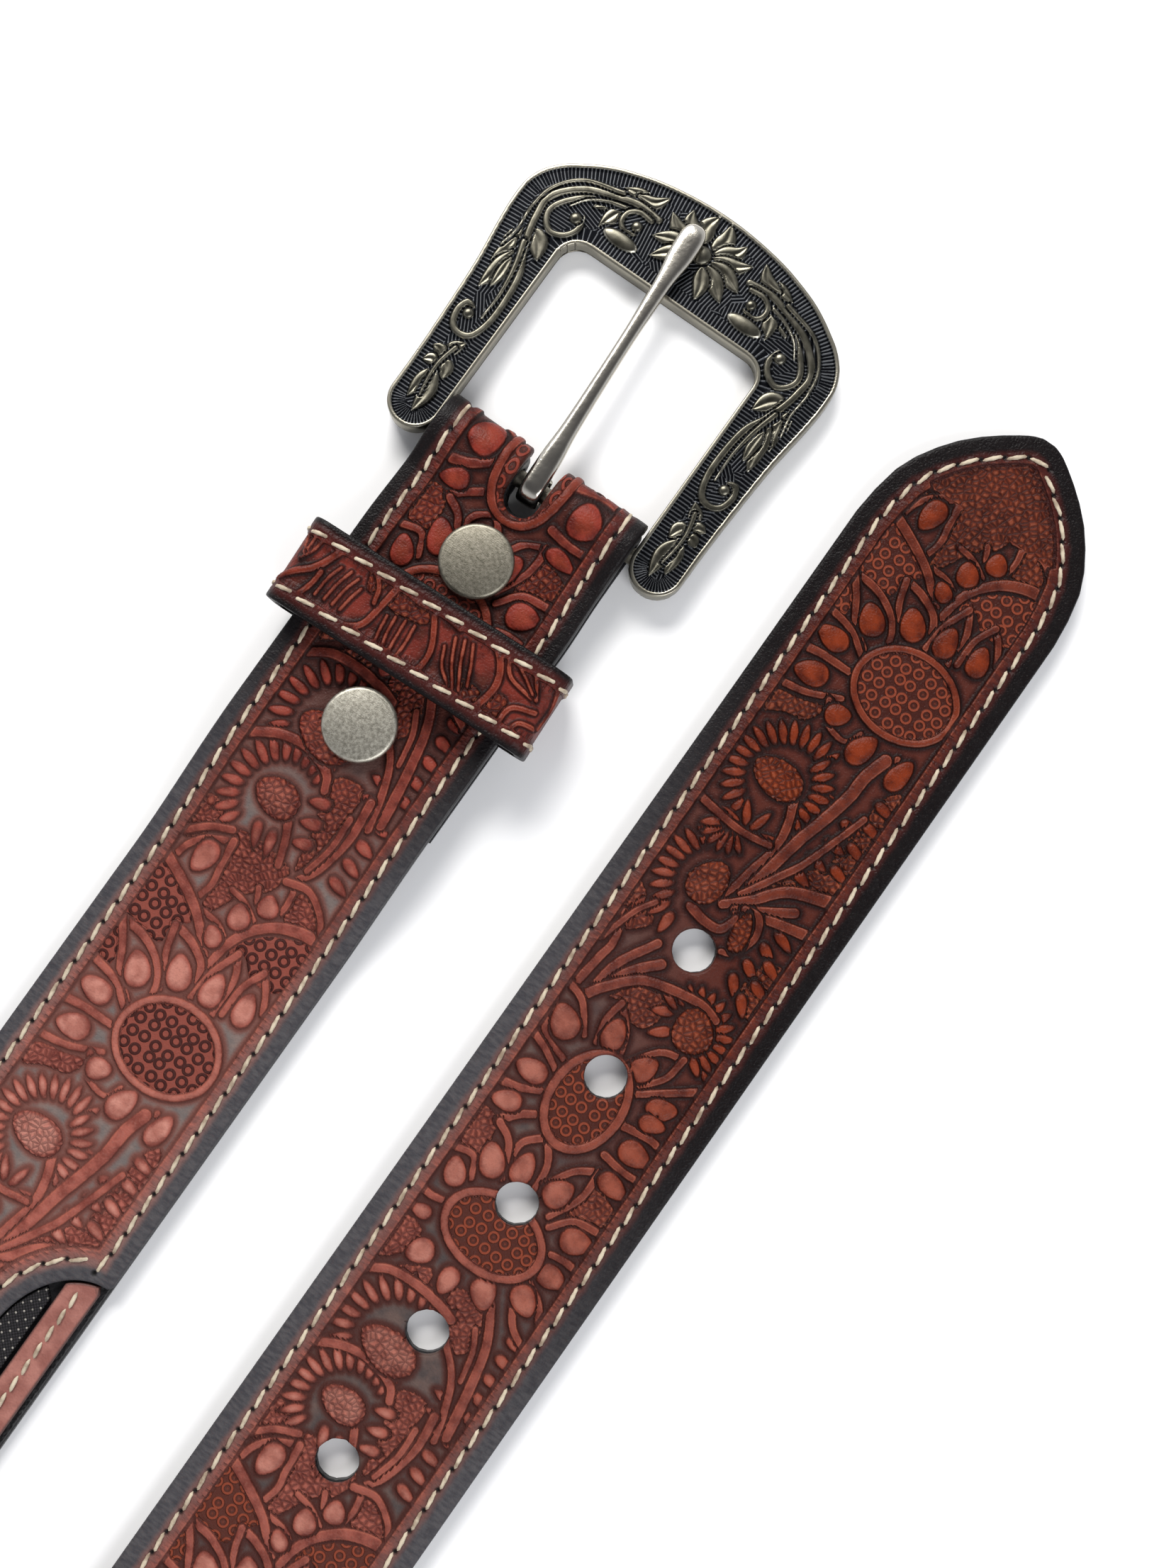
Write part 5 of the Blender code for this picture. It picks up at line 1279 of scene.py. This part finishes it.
outer = keeper_path(KEEPER_HALF, KEEPER_LOW, KEEPER_TOP, KEEPER_CORNER)
inner = keeper_path(
    KEEPER_HALF - KEEPER_THICK,
    KEEPER_LOW + KEEPER_BELOW,
    KEEPER_TOP - KEEPER_THICK,
    KEEPER_CORNER - KEEPER_THICK,
)
outward = outer - inner
outward /= np.linalg.norm(outward, axis=1)[:, None]
steps = np.linalg.norm(np.diff(np.concatenate([outer, outer[:1]]), axis=0), axis=1)
arc = np.concatenate([[0], np.cumsum(steps)[:-1]])
round_x = arc.max() / 2 - arc
half_width = KEEPER_WIDTH / 2
near_edge = KEEPER_EDGE * (1 - np.cos(np.linspace(0, math.pi / 2, 4))) - half_width
flat = np.linspace(-half_width + 0.45, half_width - 0.45, 46)
w = np.concatenate([near_edge, flat, half_width - np.array([0.2, 0.05, 0.0])])
share = 1 - np.clip((half_width - np.abs(w)) / KEEPER_EDGE, 0, 1)
edge_drop = KEEPER_EDGE * (1 - np.sqrt(np.clip(1 - share**2, 0, 1)))
grid_x, grid_w = np.meshgrid(round_x, w, indexing="ij")
inside = half_width - np.abs(grid_w)
shape = grid_x.shape
chart_at = np.clip(grid_x, -26.9, 26.9).ravel(), grid_w.ravel()
read = {name: keeper_chart.sample(name, *chart_at).reshape(shape) for name in keeper_chart.fields}
panel = smooth((inside - 2.9) / 0.4)
stitch_line = np.exp(-(((inside - KEEPER_SEAM) / 0.5) ** 2))
level = panel * (read["height"] - 0.38) - SEAM_DEPTH * stitch_line
out = outer[:, None] + outward[:, None] * (level - edge_drop)[..., None]
back = np.broadcast_to(inner[:, None], out.shape)[:, [-1, -1, 0, 0]]
across = np.concatenate([out, back], 1)
ring_w = np.concatenate([w, [half_width, half_width - 0.3, -half_width + 0.3, -half_width]])
places = keeper_to_world(across[..., 0], np.broadcast_to(ring_w, across.shape[:2]), across[..., 1])
rows, columns = across.shape[:2]


def with_back(values, behind):
    """A field of the outer face, with one value for the inner face."""
    return np.concatenate([values, np.full((rows, 4), behind)], 1).ravel()


keeper = new_object(
    "tooled_keeper",
    places.reshape(-1, 3),
    split(*cells_of(rows, columns, joined=True)),
    "strap",
    "tooled_leather",
    tooled,
    level=with_back(level, 0.0),
    edge=with_back(np.where(inside > 3.1, read["edge"], 0.6), 1.0),
    filled=np.ones(rows * columns),
    down=with_back(grid_x, 0.0),
    across=with_back(grid_w, 0.0),
    pebble=with_back(read["pebble"] * panel, 0.0),
    warm=with_back(read["warm"], 0.0),
    inside=with_back(inside + 1.4, 0.0),
    punched=np.full(rows * columns, 9.0),
    wear=np.zeros(rows * columns),
)
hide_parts("keeper_loop")


def on_keeper(x, w, rise):
    """World places on the keeper's outer face, x measured round it from its middle."""
    order = np.argsort(round_x)
    lines = (*outer[order].T, *outward[order].T)
    aside, up, out_aside, out_up = (np.interp(x, round_x[order], line) for line in lines)
    return keeper_to_world(aside + out_aside * rise, w, up + out_up * rise)


for seam_w, hand in ((KEEPER_SEAM - half_width, "near"), (half_width - KEEPER_SEAM, "far")):
    line = np.array([(-37.0, seam_w), (37.0, seam_w)])
    keeper_places, headings = along(line, 4.4, 1.0)
    stitches("keeper_stitches_" + hand, on_keeper, keeper_places, headings, 3.8, THREAD, 0.0)

# The snaps. Spun nickel-plated brass with a brushed, mottled face, a rolled edge and a
# hollow neck that clips over a stud in the return flap. Painted shade darkens the first
# cap and painted light brightens the second.
nickel, start = material("antique_nickel", Metallic=1.0)
mottle = start.noise(1.6, 5.0)
speckle = start.noise(7.0, 3.0)
spun = start.noise(1.0, 2.0, start.place((0.3, 6.0, 1)))
lightened = (0.6 * mottle + 0.4 * speckle).between(0.3, 0.7)
down = start.make("ShaderNodeSeparateXYZ", {}, {"Vector": start.place()}, "Y")
# painted light and shade: lit tones below y 158 mm (the second snap), shaded tones above y 186 mm (the
# first snap, the bar and the buckle's back)
shaded_nickel = lightened.mix(rgb(108, 104, 92), rgb(144, 139, 126))
lit_nickel = lightened.mix(rgb(142, 138, 126), rgb(186, 182, 170))
feed(
    nickel,
    Base_Color=down.between(158.0, 186.0).mix(lit_nickel, shaded_nickel),
    Roughness=0.3 + 0.16 * mottle + 0.08 * speckle,
    Normal=(speckle + 0.5 * spun).bump(0.03),
)


def turned(name, profile, below):
    """A piece turned from a profile of (radius, height), so far below the fold's front."""
    turn = round_turn(64)
    radius, height = (column[:, None] for column in np.asarray(profile, float).T)
    x, y = BAR[0], BAR[1] + FOLD_OUTER - below
    places = [x + radius * np.cos(turn), y + radius * np.sin(turn), height + 0 * turn]
    points = np.stack(places, -1).reshape(-1, 3) * MM
    a, b, c, d = cells_of(len(profile), 64)
    return new_object(name, points, split(a, d, c, b), "strap", "snap_nickel", nickel)


roll = np.linspace(0, math.pi, 16)
cap_edge = np.stack([5.65 + 0.7 * np.sin(roll), 9.05 + 0.75 * np.cos(roll)], -1)
cap_face = [(0.01, 10.1), (1.5, 10.08), (3.0, 10.02), (4.4, 9.93), (5.2, 9.85), (5.45, 9.82)]
cap_neck = [(2.0, 8.25), (2.0, 3.7), (4.45, 3.7), (4.5, 3.6), (4.5, 2.6), (4.4, 2.5)]
cap_socket = [(1.95, 2.5), (1.9, 2.55), (1.9, 3.4), (0.01, 3.4)]
stud_post = [(0.01, 3.1), (1.2, 3.1), (1.5, 3.05), (1.6, 2.8), (1.6, 0.7), (1.7, 0.6)]
stud_base = [(5.8, 0.6), (5.97, 0.5), (6.0, 0.3), (5.97, 0.1), (5.8, 0.01), (0.01, 0.01)]
cap_profile = np.concatenate([cap_face, cap_edge, cap_neck, cap_socket])
for i, below in enumerate(SNAPS):
    cap = turned(f"spun_cap_{i + 1}", cap_profile, below)
    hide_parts(f"snap_cap_{i + 1}")
    stud = turned(f"turned_stud_{i + 1}", stud_post + stud_base, below)
    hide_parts(f"snap_stud_{i + 1}")

# The buckle. A horseshoe cast in zinc and nickel plated, with a hatched ground blackened
# and the rim, vines and flower polished bright over it. A painted highlight runs along
# the outlines of the vines, leaves and flower.
FRAME_TOP = 1.1
FRAME_UNDER = 1.6
FRAME_REACH = 57.05
TILT = math.asin((BAR_HEIGHT - FRAME_UNDER) / FRAME_REACH)
FRAME_SIDE = (
    # half the frame's width, place forward of the bar's axis
    (29.6, 0.55), (29.67, 7.89), (30.08, 17.5), (30.61, 25.97), (31.52, 33.32), (31.95, 37.84),
    (32.0, 40.66), (31.84, 42.64), (31.3, 44.34), (30.5, 45.92), (29.41, 47.33), (27.78, 48.91),
    (25.7, 50.33), (23.04, 51.96), (20.0, 53.43), (16.0, 54.79), (12.32, 55.75), (8.0, 56.48),
    (3.52, 56.94), (0.0, FRAME_REACH),
)


def frame_loop():
    """The horseshoe's outline, its arms rounded at their ends."""
    turn = np.linspace(math.pi, 2 * math.pi, 24)
    arm_end = np.stack([24.8 + 4.8 * np.cos(turn), 0.55 + 4.8 * np.sin(turn)], -1)
    side = spline(FRAME_SIDE, 0.8)
    outer_right = np.concatenate([arm_end, side[1:]])
    outer_left = outer_right[-2::-1] * (-1, 1)
    turn = np.linspace(0, math.pi / 2, 10)
    corner = np.stack([-16.0 - 4.0 * np.cos(turn), 35.05 + 4.0 * np.sin(turn)], -1)
    inner = np.concatenate([corner, corner[::-1] * (-1, 1)])
    return np.concatenate([outer_right, outer_left, inner])


VINES = (
    # width at the start, width at the end, places beside and in front of the fold
    (1.35, 1.15, ((9.4, 44.0), (13.7, 44.3), (17.9, 43.1), (22.2, 41.5), (25.5, 38.8), (27.1, 36.1),
        (26.9, 33.1), (26.3, 30.0), (25.0, 26.3), (23.2, 22.7), (22.5, 17.8), (22.5, 12.9),
        (23.6, 9.3), (25.7, 8.4), (27.5, 9.3), (28.2, 11.7), (27.5, 13.7), (26.4, 13.3))),
    (1.1, 1.1, ((15.1, 42.5), (18.5, 41.5), (21.9, 39.9), (24.6, 37.1), (25.6, 34.7), (24.8, 32.7),
        (23.1, 31.7), (20.9, 32.6), (19.7, 34.7), (20.3, 36.8))),
    (0.9, 0.3, ((14.1, 42.8), (18.0, 41.8), (21.2, 39.9), (23.1, 37.3))),
    (0.9, 0.4, ((17.0, 44.5), (23.6, 42.5), (27.4, 38.4), (28.4, 33.6), (28.1, 28.8), (28.8, 25.1))),
    (1.05, 0.4, ((25.9, 27.7), (24.6, 23.0), (23.9, 17.8), (24.0, 12.6))),
    (1.0, 0.9, ((10.3, 43.1), (12.7, 43.3), (14.4, 42.1), (14.5, 40.2), (13.1, 39.1), (11.5, 39.6))),
    (0.9, 0.5, ((24.6, 6.0), (25.4, 2.4), (25.3, -1.0), (24.8, -3.9))),
)
LEAVES = (
    # greatest width, places from its foot to its point
    (2.2, ((10.9, 44.9), (14.1, 45.8), (17.4, 45.3))),
    (1.9, ((14.5, 45.6), (11.7, 46.0), (9.8, 48.4))),
    (2.3, ((15.0, 43.1), (17.9, 41.6), (19.9, 39.4))),
    (2.1, ((15.0, 42.3), (16.2, 40.0), (17.1, 37.0))),
    (2.7, ((26.4, 30.4), (24.0, 29.1), (22.1, 26.1))),
    (1.8, ((27.7, 29.6), (28.0, 27.3), (28.9, 24.6))),
    (2.0, ((27.3, 27.2), (27.6, 24.4), (28.4, 21.0))),
    (2.4, ((26.5, 25.0), (26.8, 21.0), (27.7, 16.8))),
    (1.6, ((26.0, 24.0), (25.8, 21.0), (26.0, 17.8))),
    (1.9, ((25.3, 4.1), (24.8, 5.8), (23.5, 7.7))),
    (2.1, ((25.4, 2.9), (26.6, 4.2), (28.0, 4.3))),
    (1.8, ((25.7, 1.8), (26.7, 2.1), (28.0, 1.2))),
    (2.2, ((25.2, 3.3), (24.0, 2.3), (23.2, 0.2))),
    (2.1, ((25.4, 1.0), (26.0, -2.1), (26.4, -5.5))),
    (2.3, ((25.0, 0.8), (24.1, -2.9), (24.3, -7.2))),
    (2.6, ((0.9, 44.6), (2.0, 47.6), (1.2, 50.6))),
    (2.5, ((1.6, 44.4), (4.6, 46.6), (5.6, 49.0))),
    (2.4, ((1.9, 43.8), (5.6, 44.6), (8.4, 46.6))),
    (2.5, ((2.0, 43.0), (5.6, 42.6), (8.9, 41.2))),
    (2.4, ((1.8, 42.2), (4.6, 40.4), (7.3, 38.0))),
    (2.2, ((1.2, 41.6), (2.8, 38.8), (3.4, 36.0))),
)
BALLS = (
    # place beside and in front of the fold, diameter
    (26.3, 12.1, 2.1), (21.1, 36.1, 2.2), (11.8, 40.9, 2.0),
)
LEAF_SPREAD = 1.35
VINE_SPREAD = 1.05
outline = frame_loop()
ornament = Tooling((-33.0, -6.0), (33.0, 58.0), fine=10)


def from_bar(points, side):
    """Places of one half of the buckle, from the bar's axis."""
    return [(side * x, y + FOLD_OUTER) for x, y in points]


for side in (-1, 1):
    for width, points in LEAVES:
        ornament.rib(from_bar(points, side), LEAF_SPREAD * width, None, 0.48, 0.1, True, 4)
    for width, end_width, points in VINES:
        end_width = VINE_SPREAD * end_width + 0.1
        ornament.rib(from_bar(points, side), VINE_SPREAD * width, end_width, 0.5, power=4)
    for x, y, diameter in BALLS:
        ornament.bead(side * x, y + FOLD_OUTER, diameter, diameter, 0, 0.68, 0.0)
    ornament.bead(side * 12.8, 37.4 + FOLD_OUTER, 7.0, 2.9, 0, 0.48, 0.0)
ornament.bead(0.0, 43.2 + FOLD_OUTER, 3.6, 3.6, 0, 0.85, 0.0)
ornament.find_outlines()


def frame_relief(places, depth):
    """Height over the ground of the buckle's face."""
    rim = 0.5 * (1 - smooth((depth - 0.65) / 0.25))
    height = ornament.sample("height", *places.T) * smooth((depth - 0.9) / 0.15)
    return np.maximum(rim, height)


def on_frame(x, y, z):
    """World places of the buckle's own: x across, y forward of the bar and z up."""
    cosine, sine = math.cos(TILT), math.sin(TILT)
    ahead, up = y * cosine + z * sine, z * cosine - y * sine
    return MM * np.stack([BAR[0] + x, BAR[1] + ahead, BAR_HEIGHT + up], -1)


cast, start = material("cast_nickel", Metallic=1.0)
edge = start.attribute("edge")
inside = start.attribute("inside")
mottle = start.noise(0.6, 4.0)
polished = edge.between(-0.02, 0.14)
rim = 1 - inside.between(0.62, 0.8)
field = start.cells(0.17, "F1", output="Color")
turn = start.make("ShaderNodeSeparateColor", {}, {"Color": field}, "Red") * 6.28
turned_x = start.attribute("aside") * turn.math("COSINE", turn)
turned_y = start.attribute("forward") * turn.wave()
hatching = ((turned_x + turned_y) * 10.5).wave()
strokes = (start.attribute("arc") * 9.0).wave()
by_rim = 1 - inside.between(2.9, 3.1)
cuts = by_rim.make("ShaderNodeMix", {}, {0: by_rim, 2: hatching, 3: strokes})
ridge = cuts.between(-0.2, 0.9)
bright_part = polished.math("MAXIMUM", polished, rim)
face = (0.75 * ridge).mix(rgb(13, 14, 17), rgb(88, 90, 93))
relief = mottle.between(0.3, 0.7).mix(rgb(80, 78, 69), rgb(110, 107, 96))
# painted highlight: a bright thin line along the outlines of the relief
outline_highlight = edge.between(0.0, 0.08) * (1 - edge.between(0.14, 0.28))
relief = (0.8 * outline_highlight).mix(relief, rgb(186, 182, 168))
relief = rim.mix(relief, rgb(142, 138, 126))
face = bright_part.mix(face, relief)
heights = (1 - bright_part) * ridge * 0.5 + 1.2 * edge.between(-0.1, 0.3)
feed(
    cast,
    Base_Color=face,
    Roughness=0.4 - 0.12 * bright_part + 0.06 * mottle,
    Normal=heights.bump(0.16),
)
step = 0.17
x, y, z, faces, depth = sheet_of([outline], step, FRAME_TOP, -FRAME_UNDER, 0.25, frame_relief)
_, _, arc = nearest_on([outline], np.stack([x, y], -1))
fields = {"edge": ornament.sample("edge", x, y), "inside": depth, "arc": arc, "aside": x, "forward": y}
buckle = new_object("cast_buckle", on_frame(x, y, z), faces, "buckle", "buckle_nickel", cast, **fields)
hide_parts("buckle_frame")
x, y, z, faces, _ = sheet_of([outline], 0.9, -1.55, -1.2, 0.2)
back = on_frame(x, y, -3.1 - z)
new_object("buckle_back", back, faces[:, ::-1], "buckle", "buckle_nickel", nickel)


def skin(rings):
    """Triangles over rings of the same number of places, closed at both ends."""
    count, sides = rings.shape[:2]
    fan = np.stack([np.zeros(sides - 2, int), np.arange(2, sides), np.arange(1, sides - 1)], -1)
    last = fan[:, ::-1] + (count - 1) * sides
    return np.concatenate([split(*cells_of(count, sides)), fan, last])


BAR_RADIUS = 1.5
turn = round_turn(40)
bar_x = np.array([-20.6, -20.5, 20.5, 20.6])
section = BAR_RADIUS * np.cos(turn), BAR_RADIUS * np.sin(turn)
rings = np.stack([np.stack([x + 0 * turn, *section], -1) for x in bar_x])
points = on_frame(*rings.reshape(-1, 3).T)
new_object("bar", points, skin(rings), "buckle", "buckle_nickel", nickel)

# The tongue. A bright plated casting with an open curl round the bar, a slender shaft
# and a broad rounded end that rests on the frame.
bright, start = material("bright_nickel", Metallic=1.0, Base_Color=rgb(202, 197, 186))
wiped = start.noise(0.35, 3.0)
feed(bright, Roughness=0.14 + 0.1 * wiped, Normal=start.noise(1.5, 2.0).bump(0.02))
TONGUE_REACH = 52.55
CURL_MIDDLE = 2.55
TONGUE_REST = 3.0
SHAFT = 1.9
TONGUE_LEAN = math.radians(3.2)
rows = []  # place forward and up, travel, width, thickness
for i in range(23):
    angle = math.radians(-20.0 - 250.0 * i / 22)
    forward, up = CURL_MIDDLE * math.cos(angle), CURL_MIDDLE * math.sin(angle)
    rows.append((forward, up, angle - math.pi / 2, 4.0, 1.5))
for share, width, height in (
    # share of the tongue's reach, width, thickness
    (0.05, 3.92, 1.71),
    (0.12, 3.7, SHAFT),
    (0.2, 3.08, SHAFT),
    (0.33, 2.72, SHAFT),
    (0.55, 2.52, SHAFT),
    (0.7, 2.8, SHAFT),
    (0.79, 3.22, SHAFT),
    (0.86, 4.19, SHAFT),
    (0.91, 4.5, SHAFT),
    (0.955, 4.37, 1.86),
    (0.98, 3.6, 1.62),
    (0.993, 2.34, 1.2),
    (0.999, 0.9, 0.6),
    (1.0, 0.1, 0.1),
):
    climb = CURL_MIDDLE + (TONGUE_REST - CURL_MIDDLE) * min(share / 0.79, 1)
    climb -= (SHAFT - height) / 4 * (share > 0.8)
    rows.append((TONGUE_REACH * share, climb, -2 * math.pi, width, height))
sections = spline(rows, 0.35)
turn = round_turn(36)
round_x = np.sign(np.cos(turn)) * np.abs(np.cos(turn)) ** 0.72
round_up = np.sign(np.sin(turn)) * np.abs(np.sin(turn)) ** 0.72
y, z, travel, width, height = (column[:, None] for column in sections.T)
x = width / 2 * round_x
y = y - np.sin(travel) * height / 2 * round_up
z = z + np.cos(travel) * height / 2 * round_up
cosine, sine = math.cos(TONGUE_LEAN), math.sin(TONGUE_LEAN)
rings = np.stack([x * cosine - y * sine, x * sine + y * cosine, z], -1)
points = on_frame(*rings.reshape(-1, 3).T)
tongue = new_object("polished_tongue", points, skin(rings), "tongue", "buckle_nickel", bright)
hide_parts("tongue")
